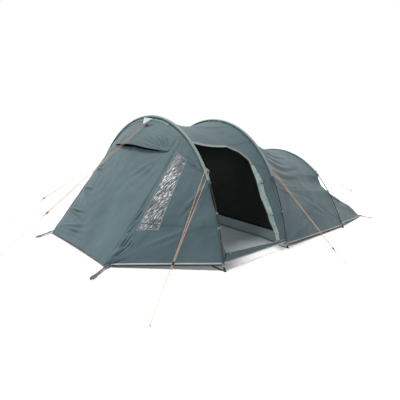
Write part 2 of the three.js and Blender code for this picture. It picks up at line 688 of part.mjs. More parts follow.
// The part of a wire peg that stands out of the ground: a short shank and a hook.
function peg(name, [x, y], up) {
  const away = vec(-up.x, -up.y, 0).normalize();
  const points = [vec(0, 0, 0), vec(0, 0, PEG.stand - PEG.hook)];
  for (let k = 1; k <= 5; k += 1) {
    const turn = (Math.PI * k * 0.9) / 5;
    const out = PEG.hook * (1 - Math.cos(turn));
    points.push(vec(away.x * out, away.y * out, PEG.stand - PEG.hook + PEG.hook * Math.sin(turn)));
  }
  const mesh = add(name, sweep(ringShape(PEG.diameter / 2), points), material('steel', 0.35, 0.9));
  mesh.position.set(x, y, 0);
}

// ---------------------------------------------------------------- assembly

poles();
flysheet();
hood();
doorBinding();
door();
innerTent();
cornerLoops();
Object.entries(GUYS).forEach(([name, guy]) => guyline(name, guy));

export default tent;
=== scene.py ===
"""The looks of a pitched tunnel tent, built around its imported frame.

Metres, +Z up, in the frame's own axes: the sloping front faces -Y, the bedroom is at +Y and the open
door faces +X. Shapes are worked out with Y counted from the front hoop; to_row() moves them.
On a hoop, a share runs from 0 at the foot at +X to 1 at the foot at -X.
"""
import math

import bpy
import numpy as np
from mathutils import Matrix, Vector, noise
from mathutils.bvhtree import BVHTree


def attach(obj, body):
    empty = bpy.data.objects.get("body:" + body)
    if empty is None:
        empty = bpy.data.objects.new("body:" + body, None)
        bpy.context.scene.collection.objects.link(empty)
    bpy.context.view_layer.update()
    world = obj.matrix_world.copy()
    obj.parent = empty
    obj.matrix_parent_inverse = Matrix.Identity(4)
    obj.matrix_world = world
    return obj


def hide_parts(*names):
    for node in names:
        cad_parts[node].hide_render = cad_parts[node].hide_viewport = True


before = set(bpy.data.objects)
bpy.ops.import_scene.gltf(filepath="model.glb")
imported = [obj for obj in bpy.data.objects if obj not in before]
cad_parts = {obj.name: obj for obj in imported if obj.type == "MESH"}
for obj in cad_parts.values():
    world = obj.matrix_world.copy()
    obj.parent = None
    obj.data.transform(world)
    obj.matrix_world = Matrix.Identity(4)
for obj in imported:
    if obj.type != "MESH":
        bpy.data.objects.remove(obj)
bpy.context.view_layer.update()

# ---------------------------------------------------------------- the tent's dimensions, as in the CAD

ORIGIN = 1.424                       # from the front hoop to the frame's origin
HOOPS = {
    "front": dict(y=0.0, half=1.250, rise=1.348, lean=2.7, sleeve_end=0.205, guy=0.236,
                  scallops=[(0.133, 0.205, 0.016), (0.02, 0.133, 0.012)], clips=(0.133, 0.099)),
    "middle": dict(y=1.110, half=1.255, rise=1.391, lean=-1.1, sleeve_end=0.200, guy=0.228,
                   scallops=[(0.104, 0.2, 0.016), (0.02, 0.104, 0.010)], clips=(0.104,)),
    "rear": dict(y=2.700, half=1.275, rise=1.044, lean=0.0, sleeve_end=0.250, guy=0.268,
                 scallops=[(0.17, 0.25, 0.040), (0.02, 0.17, 0.014)], clips=(0.17,)),
}
POLE_RADIUS = 0.0055
SLEEVE_RADIUS = 0.011
HEM = 0.018
FRONT_HEM, BEDROOM_HEM = 0.013, 0.012
PORCH_SAG, BEDROOM_SAG = 0.090, 0.140
FRONT_CORNER = (0.583, -0.809, 0.012)
REAR_CORNER = (1.153, 3.808, 0.012)
CORNER_CUT = 0.030
HEM_ARCH = 0.026
REAR_SAG = 0.105
SHOULDER_SEAM, REAR_SEAM = 0.356, 0.33
DOOR_TOP = 0.33
DOOR_EDGE = [(0.33, 0.56), (0.302, 0.7), (0.268, 0.77), (0.225, 0.75), (0.15, 0.742), (0.088, 0.777),
             (0.05, 0.83)]
SILL_TOP = (0.0395, 0.0245)          # at the front hoop and at the middle one
BINDING = 0.034
ROLLED_DOOR = 0.085
ROLL_TOP = 0.248                     # where the turned-back door starts, as a share of the hoops
TOGGLE_PLACES = (0.259, 0.685)
WINDOW = [(0.563, -0.064, 1.013), (0.692, -0.046, 0.940), (0.772, -0.411, 0.338), (0.638, -0.547, 0.320)]
HOOD_SIDE, HOOD_TOP, HOOD_LIP, HOOD_LIP_RISE, HOOD_BULGE = 0.37, 0.975, 0.75, 0.085, 0.052
INNER_FRONT, INNER_REAR, INNER_INSET, INNER_BOTTOM = 1.150, 3.260, 0.060, 0.072
TRAY_HALF, TRAY_HEIGHT = 1.080, 0.145
GUY_RADIUS = 0.002
STRAND_GAP, TAB_SPREAD = 0.009, 0.046
SLIDER_LENGTH, SLIDER_TRAVEL, GUY_TAIL = 0.030, 0.150, 0.032
PEG_RADIUS, PEG_STAND = 0.0025, 0.026


# ---------------------------------------------------------------- shapes

def unit(vectors):
    return vectors / np.maximum(np.linalg.norm(vectors, axis=-1, keepdims=True), 1e-12)


def to_row(points):
    """From Y counted from the front hoop to the frame's own Y."""
    moved = np.array(points, float)
    moved[..., 1] -= ORIGIN
    return moved


def pair(first, second):
    """Two numbers or arrays as float arrays of one shape."""
    return np.broadcast_arrays(np.asarray(first, float), np.asarray(second, float))


def bent_rod(half, rise):
    """A springy rod bent between two feet: its curvature grows with its height."""
    def march(foot_angle):
        points, angle = [(0.0, 0.0)], foot_angle
        while angle > 0:
            x, z = points[-1]
            angle -= 0.002 * z
            points.append((x + 0.002 * math.cos(angle), z + 0.002 * math.sin(angle)))
        return np.array(points)

    low, high = 0.3, 1.9
    for _ in range(40):
        middle = (low + high) / 2
        points = march(middle)
        if points[-1, 1] / points[-1, 0] < rise / half:
            low = middle
        else:
            high = middle
    points = points * half / points[-1, 0]
    right = np.stack([half - points[:, 0], points[:, 1]], 1)
    left = right[-2::-1] * (-1, 1)
    return np.concatenate([right, left])


class Hoop:
    """A bent pole in its leaning plane, and the cloth along it."""

    def __init__(self, y, half, rise, lean, sleeve_end, guy, scallops, clips):
        curve = bent_rod(half, rise)
        steps = np.linalg.norm(np.diff(curve, axis=0), axis=1)
        lengths = np.concatenate([[0], np.cumsum(steps)])
        self.total = lengths[-1]
        self.places = lengths / self.total
        self.curve = curve
        self.along = unit(np.gradient(curve, axis=0))
        self.y, self.tilt = y, math.radians(lean)
        self.sleeve_end, self.guy, self.scallops, self.clips = sleeve_end, guy, scallops, clips

    def at(self, share, inset=0.0):
        """A point on the hoop, moved inwards in the hoop's own plane."""
        share = np.clip(np.asarray(share, float), 0, 1)
        x, z = (np.interp(share, self.places, self.curve[:, k]) for k in (0, 1))
        ax, az = (np.interp(share, self.places, self.along[:, k]) for k in (0, 1))
        x, z = x - az * inset, z + ax * inset
        return np.stack([x, self.y + z * math.sin(self.tilt), z * math.cos(self.tilt)], -1)

    def outwards(self, share):
        """A short vector away from the hoop's middle, in its own plane."""
        return self.at(share) - self.at(share, 0.01)

    def fabric(self, share, extra=0.0):
        """Just inside the sleeve, and further in where the cloth swings clear of the bare pole."""
        share = np.asarray(share, float)
        side = np.minimum(share, 1 - share)
        inset = np.full(side.shape, SLEEVE_RADIUS + 0.0008 + extra)
        for start, end, depth in self.scallops:
            inside = (side > start) & (side < end)
            inset = inset + np.where(inside, depth * np.sin(np.pi * (side - start) / (end - start)), 0)
        return self.at(share, inset)


hoops = {name: Hoop(**sizes) for name, sizes in HOOPS.items()}


def between(first, second, sag, extra=0.0):
    """Cloth stretched from one hoop to the next, dipping between them, most at the ridge."""
    def surface(share, way):
        share, way = pair(share, way)
        way = way[..., None]
        point = first.fabric(share, extra) * (1 - way) + second.fabric(share, extra) * way
        inwards = unit(np.stack([-point[..., 0], 0 * share, 0.35 - point[..., 2]], -1))
        loose = np.maximum(0, (point[..., 2:] - 0.2) / 1.2)
        return point + inwards * sag * 4 * way * (1 - way) * loose
    return surface


def slope(hoop, corner, seam, sag=0.0):
    """Cloth from a hoop down to a shorter hem with a corner at each end."""
    sign = math.copysign(1, corner[1] - hoop.y)

    def surface(share, way):
        share, way = pair(share, way)
        side = np.where(share < 0.5, 1, -1)
        turn = np.minimum(share, 1 - share) / seam
        across = (share - 0.5) / (0.5 - seam)
        flank = np.stack([side * (corner[0] - CORNER_CUT * turn),
                          corner[1] - sign * CORNER_CUT * (1 - turn), np.full(share.shape, corner[2])], -1)
        end = np.stack([-across * (corner[0] - CORNER_CUT), np.full(share.shape, corner[1]),
                        corner[2] + HEM_ARCH * (1 - across ** 2)], -1)
        base = np.where((turn < 1)[..., None], flank, end)
        way = way[..., None]
        point = base * (1 - way) + hoop.fabric(share) * way
        inwards = unit(np.array((0, hoop.at(0.5)[1], 0.25)) - point)
        loose = np.clip((point[..., 2:] - 0.15) / 0.1, 0, 1)
        return point + inwards * sag * loose * 5.38 * np.abs(way) ** 1.5 * (1 - way)
    return surface


porch = between(hoops["front"], hoops["middle"], PORCH_SAG)
bedroom = between(hoops["middle"], hoops["rear"], BEDROOM_SAG)
hung = between(hoops["middle"], hoops["rear"], BEDROOM_SAG, INNER_INSET)
front_slope = slope(hoops["front"], FRONT_CORNER, SHOULDER_SEAM)
rear_slope = slope(hoops["rear"], REAR_CORNER, REAR_SEAM, REAR_SAG)


def door_edge(share):
    shares, ways = zip(*sorted(DOOR_EDGE))
    return np.interp(share, shares, ways)


def sill_top(way):
    return SILL_TOP[0] + (SILL_TOP[1] - SILL_TOP[0]) * np.asarray(way, float)


def new_object(name, vertices, faces, material, slot, body="tent", smooth=True):
    """A mesh object in the row frame that rides on a body of the frame."""
    mesh = bpy.data.meshes.new(name)
    mesh.from_pydata([tuple(v) for v in vertices], [], [tuple(int(k) for k in f) for f in faces])
    mesh.update()
    mesh.polygons.foreach_set("use_smooth", [smooth] * len(mesh.polygons))
    obj = bpy.data.objects.new(name, mesh)
    bpy.context.scene.collection.objects.link(obj)
    mesh.materials.append(material)
    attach(obj, body)
    return obj


def grid_faces(rows, columns, start=0, flip=False):
    index = np.arange((rows + 1) * (columns + 1)).reshape(rows + 1, columns + 1) + start
    quads = np.stack([index[:-1, :-1], index[:-1, 1:], index[1:, 1:], index[1:, :-1]], -1).reshape(-1, 4)
    return quads[:, ::-1] if flip else quads


def shell(outer, inner):
    """Vertices and faces of a closed sheet between two grids of points."""
    rows, columns = outer.shape[0] - 1, outer.shape[1] - 1
    count = (rows + 1) * (columns + 1)
    index = np.arange(count).reshape(rows + 1, columns + 1)
    rim = np.concatenate([index[0, :-1], index[:-1, -1], index[-1, :0:-1], index[:0:-1, 0]])
    following = np.roll(rim, -1)
    sides = np.stack([following, rim, rim + count, following + count], -1)
    faces = np.concatenate([grid_faces(rows, columns), grid_faces(rows, columns, count, flip=True), sides])
    vertices = np.concatenate([outer.reshape(-1, 3), inner.reshape(-1, 3)])
    a, b, c = (outer[rows // 2 + i, columns // 2 + j] for i, j in ((0, 0), (0, 1), (1, 1)))
    away = (outer - inner)[rows // 2, columns // 2]
    if np.cross(b - a, c - a) @ away < 0:
        faces = faces[:, ::-1]
    return vertices, faces


def closed_sheet(name, outer, inner, material, slot):
    """A closed thin sheet between two grids of points."""
    return new_object(name, *shell(to_row(outer), to_row(inner)), material, slot)


def smooth_noise(points, seed):
    """Blender's own noise, from -1 to 1, at each point."""
    flat = np.asarray(points, float).reshape(-1, 3) + seed * 7.31
    values = [noise.noise(Vector(point)) for point in flat]
    return np.array(values).reshape(np.shape(points)[:-1])


class Panel:
    """A stretch of cloth over surface(share, way). creases are (start, end, width, height), with
    start and end on the surface; they fade along their length and at the panel's edges. folds are
    (share at way 0, share at way 1, dip, width, height, first way, last way): hanging folds that run
    from one hoop to the next. ripple is (height, size across, size along)."""

    def __init__(self, surface, shares, ways, inside, creases=(), ripple=(0.0, 0.3, 0.3), seed=1,
                 edge=0.05, folds=()):
        self.surface, self.shares, self.ways = surface, shares, ways
        self.inside, self.ripple, self.seed, self.edge = np.array(inside), ripple, seed, edge
        self.creases = [(surface(*a), surface(*b), width, height) for a, b, width, height in creases]
        self.folds = folds

    def normal(self, share, way):
        share, way = pair(share, way)
        step = 1e-3
        across = self.surface(share + step, way) - self.surface(share - step, way)
        along = self.surface(share, way + step) - self.surface(share, way - step)
        normal = unit(np.cross(across, along))
        out = self.surface(share, way) - self.inside
        return normal * np.where((normal * out).sum(-1, keepdims=True) < 0, -1, 1)

    def height(self, share, way):
        share, way = pair(share, way)
        base = self.surface(share, way)
        total = np.zeros(share.shape)
        for start, end, width, height in self.creases:
            along = end - start
            part = np.clip((base - start) @ along / (along @ along), 0, 1)
            off = np.linalg.norm(base - start - part[..., None] * along, axis=-1) / width
            fade = np.minimum(1, part / 0.15) * np.minimum(1, (1 - part) / 0.5)
            total += height * fade * (1 - 0.8 * off ** 2) * np.exp(-off ** 2)
        for low, high, dip, width, height, first, last in self.folds:
            part = np.clip((way - first) / (last - first), 0, 1)
            middle = low + (high - low) * way - dip * 4 * way * (1 - way)
            off = (share - middle) / width
            total += height * np.sin(np.pi * part) ** 0.7 * off * np.exp(-off ** 2)
        height, size_across, size_along = self.ripple
        if height:
            scaled = base / np.array([size_across, size_along, size_across])
            total += height * smooth_noise(scaled, self.seed)
            total += 0.4 * height * smooth_noise(scaled * 2.7, self.seed + 5)
        fades = []
        for value, (low, high) in ((share, self.shares), (way, self.ways)):
            place = (value - low) / (high - low)
            fades.append(np.clip(np.minimum(place, 1 - place) / self.edge, 0, 1))
        return total * np.minimum(*fades) ** 0.5

    def at(self, share, way, lift=0.0):
        share, way = pair(share, way)
        rise = self.height(share, way) + lift
        return self.surface(share, way) + self.normal(share, way) * rise[..., None]

    def line(self, share, way, lift=0.0):
        """A path on the panel, and its normals."""
        share, way = pair(share, way)
        return self.at(share, way, lift), self.normal(share, way)


def fan(hub, first, last, count, width, height, seed=0):
    """Creases that spread from one point to a row of points."""
    rng = np.random.default_rng(seed)
    found = []
    for k in range(count):
        part = (k + 0.5) / count + rng.uniform(-0.2, 0.2) / count
        end = tuple(a + (b - a) * part for a, b in zip(first, last))
        found.append((hub, end, width * rng.uniform(0.7, 1.3), height * rng.uniform(0.6, 1.2) * (-1) ** k))
    return found


def area_of(points):
    a, b = points[1:, 1:] - points[:-1, :-1], points[1:, :-1] - points[:-1, 1:]
    return float(np.linalg.norm(np.cross(a, b), axis=-1).sum() / 2)


def note_sheet(points):
    """Works out the flat size of a cloth from a grid of points on it, and keeps nothing of it."""
    area_of(points)


def cloth(name, panel, columns, rows, material, slot, node=None, thickness=0.0012, warp=None):
    """The panel as a closed thin sheet, which stands for its CAD node. warp(u, v) gives share and way."""
    u, v = np.meshgrid(np.linspace(0, 1, columns + 1), np.linspace(0, 1, rows + 1))
    if warp:
        share, way = warp(u, v)
    else:
        share = panel.shares[0] + (panel.shares[1] - panel.shares[0]) * u
        way = panel.ways[0] + (panel.ways[1] - panel.ways[0]) * v
    outer = panel.at(share, way)
    inner = outer - panel.normal(share, way) * thickness
    obj = closed_sheet(name, outer, inner, material, slot)
    if node:
        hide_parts(node)
    flat = panel.surface(share, way)
    note_sheet(flat)
    return obj


def rings_along(path, across, up, outline):
    """The outline's points at each point of the path."""
    return path[:, None] + outline[..., :1] * across[:, None] + outline[..., 1:] * up[:, None]


def ring_faces(count, sides):
    """A tube's point numbers ring by ring, the same turned by one place, and its wall's faces."""
    index = np.arange(count * sides).reshape(count, sides)
    turned = np.roll(index, -1, axis=1)
    return index, turned, np.stack([index[:-1], turned[:-1], turned[1:], index[1:]], -1).reshape(-1, 4)


def sweep(path, across, up, outline):
    """Vertices and faces of a closed bar: outline's (a, b) points are carried along path on the
    across and up vectors. outline may have one shape, or one for each point of the path."""
    path, outline = np.asarray(path, float), np.asarray(outline, float)
    if outline.ndim == 2:
        outline = np.broadcast_to(outline, (len(path), *outline.shape))
    rings = rings_along(path, across, up, outline)
    index, _, walls = ring_faces(*rings.shape[:2])
    faces = [tuple(face) for face in walls] + [tuple(index[0, ::-1]), tuple(index[-1])]
    return rings.reshape(-1, 3), faces


def frames_on(path, normals):
    """across and up vectors along a path that lies on a surface with these normals."""
    path = np.asarray(path, float)
    along = unit(np.gradient(path, axis=0))
    normals = np.broadcast_to(np.asarray(normals, float), path.shape)
    up = unit(normals - (normals * along).sum(-1, keepdims=True) * along)
    return np.cross(along, up), up


def ellipse(a, b, sides=12):
    angles = np.linspace(0, 2 * np.pi, sides, endpoint=False)
    return np.stack([a * np.cos(angles), b * np.sin(angles)], -1)


def flat_outline(width, thickness, round_share=0.35):
    """A flat band's cross-section, with soft edges, standing on the surface."""
    half, soft = width / 2, thickness * round_share
    return [(-half, 0), (half, 0), (half, thickness - soft), (half - soft, thickness),
            (-half + soft, thickness), (-half, thickness - soft)]


def bar(name, path, normals, outline, material, slot, smooth=True):
    """A bar with this cross-section along a path on a surface."""
    vertices, faces = sweep(path, *frames_on(path, normals), outline)
    return new_object(name, to_row(vertices), faces, material, slot, smooth=smooth)


def band(name, path, normals, width, thickness, material, slot):
    """A flat band, such as a tape, seam or hem, laid on a surface."""
    return bar(name, path, normals, flat_outline(width, thickness), material, slot, smooth=False)


def tube(name, path, radius, material, slot, sides=12, normals=(0, 0, 1)):
    return bar(name, path, normals, ellipse(radius, radius, sides), material, slot)


# ---------------------------------------------------------------- materials

def srgb(red, green, blue):
    """A linear colour from ordinary 0-255 values."""
    def linear(value):
        value /= 255
        return value / 12.92 if value <= 0.04045 else ((value + 0.055) / 1.055) ** 2.4
    return (linear(red), linear(green), linear(blue), 1)


class Shader:
    """A material's node tree, with the few calls that the materials below need."""

    def __init__(self, name, roughness, metallic=0.0, specular=0.5):
        self.material = bpy.data.materials.new(name)
        self.material.use_nodes = True
        self.tree = self.material.node_tree
        self.bsdf = self.tree.nodes["Principled BSDF"]
        self.bsdf.inputs["Roughness"].default_value = roughness
        self.bsdf.inputs["Metallic"].default_value = metallic
        self.bsdf.inputs["Specular IOR Level"].default_value = specular
        self.place = self.node("ShaderNodeTexCoord").outputs["Object"]

    def node(self, kind, **values):
        made = self.tree.nodes.new(kind)
        for key, value in values.items():
            if hasattr(made, key):
                setattr(made, key, value)
            else:
                made.inputs[key.replace("_", " ").title()].default_value = value
        return made

    def link(self, output, target):
        self.tree.links.new(output, target)

    def scaled(self, factors, turn=(0, 0, 0)):
        mapping = self.node("ShaderNodeMapping", scale=factors, rotation=turn)
        self.link(self.place, mapping.inputs["Vector"])
        return mapping.outputs["Vector"]

    def noise(self, scale, detail=2, factors=(1, 1, 1), turn=(0, 0, 0)):
        made = self.node("ShaderNodeTexNoise", scale=scale, detail=detail)
        self.link(self.scaled(factors, turn), made.inputs["Vector"])
        return made.outputs["Fac"]

    def wave(self, scale, axis, distortion=0.0):
        made = self.node("ShaderNodeTexWave", bands_direction=axis, scale=scale, distortion=distortion)
        self.link(self.place, made.inputs["Vector"])
        return made.outputs["Fac"]

    def maths(self, operation, first, second):
        made = self.node("ShaderNodeMath", operation=operation)
        for socket, value in zip(made.inputs, (first, second)):
            if isinstance(value, (int, float)):
                socket.default_value = value
            else:
                self.link(value, socket)
        return made.outputs[0]

    def ramp(self, value, stops):
        made = self.node("ShaderNodeValToRGB")
        elements = made.color_ramp.elements
        while len(elements) < len(stops):
            elements.new(0.5)
        for element, (place, colour) in zip(elements, stops):
            element.position = place
            element.color = colour
        self.link(value, made.inputs["Fac"])
        return made.outputs["Color"]

    def bump(self, height, distance, strength=1.0, below=None):
        made = self.node("ShaderNodeBump", distance=distance, strength=strength)
        self.link(height, made.inputs["Height"])
        if below is not None:
            self.link(below, made.inputs["Normal"])
        self.link(made.outputs["Normal"], self.bsdf.inputs["Normal"])
        return made.outputs["Normal"]

    def colour(self, output):
        self.link(output, self.bsdf.inputs["Base Color"])


def shade(colour, factor):
    return (*(min(1.0, channel * factor) for channel in colour[:3]), 1)


def woven(name, colour, roughness=0.62, weave=0.0011, vary=0.10, sheen=0.12, specular=0.22, ripstop=True,
          blotches=2.6):
    """Coated cloth: a coarse weave and ripstop grid in the bump, and slow changes of shade."""
    s = Shader(name, roughness, specular=specular)
    s.bsdf.inputs["Sheen Weight"].default_value = sheen
    s.bsdf.inputs["Sheen Roughness"].default_value = 0.45
    blotch = s.noise(blotches, 3)
    s.colour(s.ramp(blotch, [(0.25, shade(colour, 1 - vary)), (0.75, shade(colour, 1 + vary))]))
    # The wave texture turns by 20 radians in a metre at scale 1, so weave is metres to a radian.
    turns = 1 / (weave * 20)
    threads = s.maths("ADD", s.wave(turns, "X"), s.maths("ADD", s.wave(turns, "Y"), s.wave(turns, "Z")))
    fine = s.bump(threads, 0.00015, 0.35)
    if ripstop:
        grid = s.maths("MAXIMUM", s.wave(turns / 7, "Y"), s.wave(turns / 7, "Z"))
        fine = s.bump(s.maths("POWER", grid, 14), 0.0002, 0.3, fine)
    s.bump(s.noise(38, 3), 0.0012, 0.35, fine)
    return s.material


def moulded(name, colour, roughness=0.42):
    """Moulded plastic with a fine grain."""
    s = Shader(name, roughness)
    s.colour(s.ramp(s.noise(60, 2), [(0.3, shade(colour, 0.88)), (0.7, shade(colour, 1.12))]))
    s.bump(s.noise(900, 2), 0.0002, 0.3)
    return s.material


def webbing(name, colour):
    """Flat woven tape with slanting and straight ribs."""
    s = Shader(name, 0.8, specular=0.2)
    s.bsdf.inputs["Sheen Weight"].default_value = 0.3
    s.colour(s.ramp(s.noise(90, 2), [(0.3, shade(colour, 0.8)), (0.7, shade(colour, 1.2))]))
    ribs = s.maths("ADD", s.wave(28, "DIAGONAL"), s.wave(40, "X"))
    s.bump(ribs, 0.0004, 0.6)
    return s.material


FABRIC = srgb(83, 104, 111)
fabric = woven("fly_fabric", FABRIC)
fabric_pale = woven("sleeve_fabric", srgb(132, 151, 147), roughness=0.6)
fabric_inner_side = woven("turned_lining", srgb(150, 170, 167), roughness=0.5, vary=0.3, blotches=16)
binding_cloth = woven("edge_binding", srgb(140, 151, 152), roughness=0.6, ripstop=False)
hem_tape = woven("hem_piping", srgb(176, 186, 186), roughness=0.6, ripstop=False)
skirt_cloth = woven("skirt_fabric", srgb(110, 130, 131))
seam_cloth = woven("seam_fabric", srgb(80, 100, 107), ripstop=False)
# A dark strip along the bottom edge of the front right panel, under its pale binding.
bottom_edge_dark = woven("bottom_edge_dark_fabric", srgb(50, 60, 65), ripstop=False)
black_cloth = woven("inner_fabric", srgb(31, 37, 34), roughness=0.85, vary=0.2, sheen=0.1, specular=0.1)
# Near black: the vent's own mesh, and also painted shade for the gap under the hood's lip, where the vent
# shows below it.
dark_vent_and_shade = woven("vent_mesh_and_painted_shade", srgb(16, 22, 24), roughness=0.9, weave=0.0022, sheen=0.0, specular=0.05)
ground_cloth = woven("groundsheet", srgb(172, 184, 187), roughness=0.5)
tray_cloth = woven("tray_fabric", srgb(142, 155, 157), roughness=0.5)
tape_webbing = webbing("tape_webbing", srgb(52, 56, 58))
loop_webbing = webbing("loop_webbing", srgb(92, 96, 98))
pale_webbing = webbing("pale_webbing", srgb(196, 208, 208))
dark_plastic = moulded("dark_plastic", srgb(38, 41, 43))
grey_plastic = moulded("grey_plastic", srgb(118, 126, 128))
zip_plastic = moulded("zip_plastic", srgb(148, 154, 154), 0.35)


def pole_material():
    """Wound glass fibre under a clear gloss, with a faint lengthwise grain."""
    s = Shader("pole_fibre", 0.28, specular=0.6)
    s.bsdf.inputs["Coat Weight"].default_value = 0.5
    s.bsdf.inputs["Coat Roughness"].default_value = 0.15
    grain = s.noise(300, 3)
    s.colour(s.ramp(grain, [(0.35, srgb(20, 22, 24)), (0.7, srgb(40, 43, 46))]))
    s.bump(grain, 0.0001, 0.4)
    return s.material


def steel_material():
    s = Shader("galvanised_steel", 0.35, metallic=1.0)
    s.colour(s.ramp(s.noise(220, 3), [(0.3, srgb(140, 144, 146)), (0.7, srgb(190, 194, 196))]))
    s.bump(s.noise(500, 3), 0.0001, 0.3)
    return s.material


def guyline_material():
    """Orange braided cord with pale reflective threads."""
    s = Shader("guyline_braid", 0.7, specular=0.3)
    s.bsdf.inputs["Sheen Weight"].default_value = 0.2
    strands = s.wave(420, "DIAGONAL")
    s.colour(s.ramp(strands, [(0.2, srgb(206, 146, 104)), (0.8, srgb(228, 186, 154))]))
    s.bump(strands, 0.0004, 0.6)
    return s.material


def window_material():
    """Clear film, crumpled: short bright creases run slantwise over it, with dark ones between."""
    s = Shader("window_film", 0.3, specular=0.35)
    s.bsdf.inputs["Coat Weight"].default_value = 0.15
    s.bsdf.inputs["Coat Roughness"].default_value = 0.15
    s.place = s.node("ShaderNodeTexCoord").outputs["UV"]
    bright = s.noise(1, 5, (20, 105, 1))
    dark = s.noise(1, 4, (9, 46, 1))
    patches = s.noise(7, 2)
    # The uppermost quarter stays smooth.
    height = s.node("ShaderNodeSeparateXYZ")
    s.link(s.node("ShaderNodeTexCoord").outputs["Object"], height.inputs[0])
    calm = s.node("ShaderNodeMapRange", from_min=0.80, from_max=0.90, to_min=0.0, to_max=0.2)
    s.link(height.outputs["Z"], calm.inputs["Value"])
    bright = s.maths("SUBTRACT", bright, calm.outputs["Result"])
    streaks = s.maths("MULTIPLY", s.maths("GREATER_THAN", bright, 0.545),
                      s.maths("GREATER_THAN", patches, 0.35))
    shadow = s.maths("MULTIPLY", s.maths("LESS_THAN", dark, 0.43), 0.5)
    level = s.maths("ADD", s.maths("SUBTRACT", 0.5, shadow), s.maths("MULTIPLY", streaks, 0.5))
    s.colour(s.ramp(level, [(0.0, srgb(74, 82, 86)), (0.5, srgb(102, 109, 115)), (1.0, srgb(202, 209, 210))]))
    s.bump(bright, 0.002, 0.4)
    return s.material


pole_gloss = pole_material()
steel = steel_material()
braid = guyline_material()
film = window_material()


# ---------------------------------------------------------------- camera, then the cords

CAMERA_PLACE = (2.964, -2.207 - ORIGIN, 1.199)
CAMERA_ANGLES = (43.457, 11.375, 4.494)
CAMERA_LENS, CAMERA_SENSOR = 29.51, 36


def add_camera():
    """The photograph's viewing angle: yaw from +Y towards -X, pitch down, a slight roll."""
    yaw, pitch, roll = (math.radians(angle) for angle in CAMERA_ANGLES)
    ahead = Vector((-math.sin(yaw) * math.cos(pitch), math.cos(yaw) * math.cos(pitch), -math.sin(pitch)))
    level = Vector((math.cos(yaw), math.sin(yaw), 0))
    lifted = level.cross(ahead)
    right = level * math.cos(roll) + lifted * math.sin(roll)
    up = lifted * math.cos(roll) - level * math.sin(roll)
    camera = bpy.data.objects.new("camera", bpy.data.cameras.new("camera"))
    camera.data.lens = CAMERA_LENS
    camera.data.sensor_width = CAMERA_SENSOR
    turned = Matrix((right, up, -ahead)).transposed().to_4x4()
    camera.matrix_world = Matrix.Translation(CAMERA_PLACE) @ turned
    bpy.context.scene.collection.objects.link(camera)
    bpy.context.scene.camera = camera


def guy_tab(name, side, share=None):
    share = share or hoops[name].guy
    return hoops[name].at(share if side > 0 else 1 - share, -SLEEVE_RADIUS - 0.010)


GUYS = {
    "front_right": (guy_tab("front", 1), (1.523, -1.042), 0.3, (-0.6, 0, 0.8)),
    "front_left": (guy_tab("front", -1, 0.208), (-1.200, -1.050), 0.34, (0.6, 0, 0.8)),
    "front_centre": (np.array((-0.015, -0.022, 1.258)), (0, -1.520), 0.3, (1, 0, 0)),
    "middle_right": (guy_tab("middle", 1), (1.870, 1.169), 0.13, (0, 1, 0)),
    "middle_left": (guy_tab("middle", -1), (-1.870, 1.169), 0.13, (0, 1, 0)),
    "rear_right": (guy_tab("rear", 1), (1.635, 4.330), 0.62, (-0.7, 0, 0.7)),
    "rear_left": (guy_tab("rear", -1), (-1.635, 4.330), 0.62, (0.7, 0, 0.7)),
}


def guy_route(tab, peg, slide, spread):
    """Up from the peg through the slider to the tab, across it, and back down to the slider."""
    hook = np.array((*peg, PEG_STAND - 0.006))
    up = unit(tab - hook)
    start = hook + up * (PEG_RADIUS + GUY_RADIUS + 0.002)
    length = float(np.linalg.norm(tab - start))
    spread = np.array(spread, float)
    aside = unit(spread - up * (spread @ up))
    centre = slide * length
    parallel_to = centre + SLIDER_LENGTH / 2 + SLIDER_TRAVEL + 0.008

    def at(distance, side):
        opened = np.clip((distance - parallel_to) / (length - parallel_to), 0, 1)
        return start + up * distance + aside * side * (STRAND_GAP + (TAB_SPREAD - STRAND_GAP) * opened) / 2

    stops = [share * parallel_to for share in (0, 0.08, 0.2, 0.4, 0.7, 0.96, 1)]
    upper = [parallel_to + (length - parallel_to) * share for share in (0.15, 0.35, 0.55, 0.75, 0.9)]
    distances = [*stops, *upper, length - 0.016]
    top = [at(length, side) for side in (0.75, 0.25, -0.25, -0.75)]
    back = [distance for distance in distances if distance > centre - SLIDER_LENGTH / 2][::-1]
    tail = centre - SLIDER_LENGTH / 2 - GUY_TAIL
    points = [at(d, 1) for d in distances] + top + [at(d, -1) for d in back] + [at(tail, -1)]
    return np.array(points), up, aside


def smooth_path(points, steps=8):
    """A centripetal Catmull-Rom curve through the points."""
    ends = [2 * points[0] - points[1], *points, 2 * points[-1] - points[-2]]
    found = []
    for k in range(1, len(ends) - 2):
        p = ends[k - 1:k + 3]
        t = np.cumsum([0] + [np.linalg.norm(p[j + 1] - p[j]) ** 0.5 for j in range(3)])
        for value in np.linspace(t[1], t[2], steps, endpoint=False):
            a = [(t[j + 1] - value) / (t[j + 1] - t[j]) * p[j]
                 + (value - t[j]) / (t[j + 1] - t[j]) * p[j + 1] for j in range(3)]
            b = [(t[j + 2] - value) / (t[j + 2] - t[j]) * a[j]
                 + (value - t[j]) / (t[j + 2] - t[j]) * a[j + 1] for j in range(2)]
            found.append((t[2] - value) / (t[2] - t[1]) * b[0] + (value - t[1]) / (t[2] - t[1]) * b[1])
    return np.array([*found, points[-1]])


def knot(name, centre, along, size):
    """The knot at a line's end, made as a short fat coil of the cord."""
    turns = np.linspace(0, 4 * np.pi, 40)
    side = unit(np.cross(along, (0.3, 0.2, 0.9)))
    other = np.cross(along, side)
    path = (centre + np.outer(np.cos(turns), side) * size + np.outer(np.sin(turns), other) * size
            + np.outer((turns / turns[-1] - 0.5) * size * 2.2, along))
    return tube(name, path, GUY_RADIUS * 1.05, braid, "cord", sides=8, normals=along)


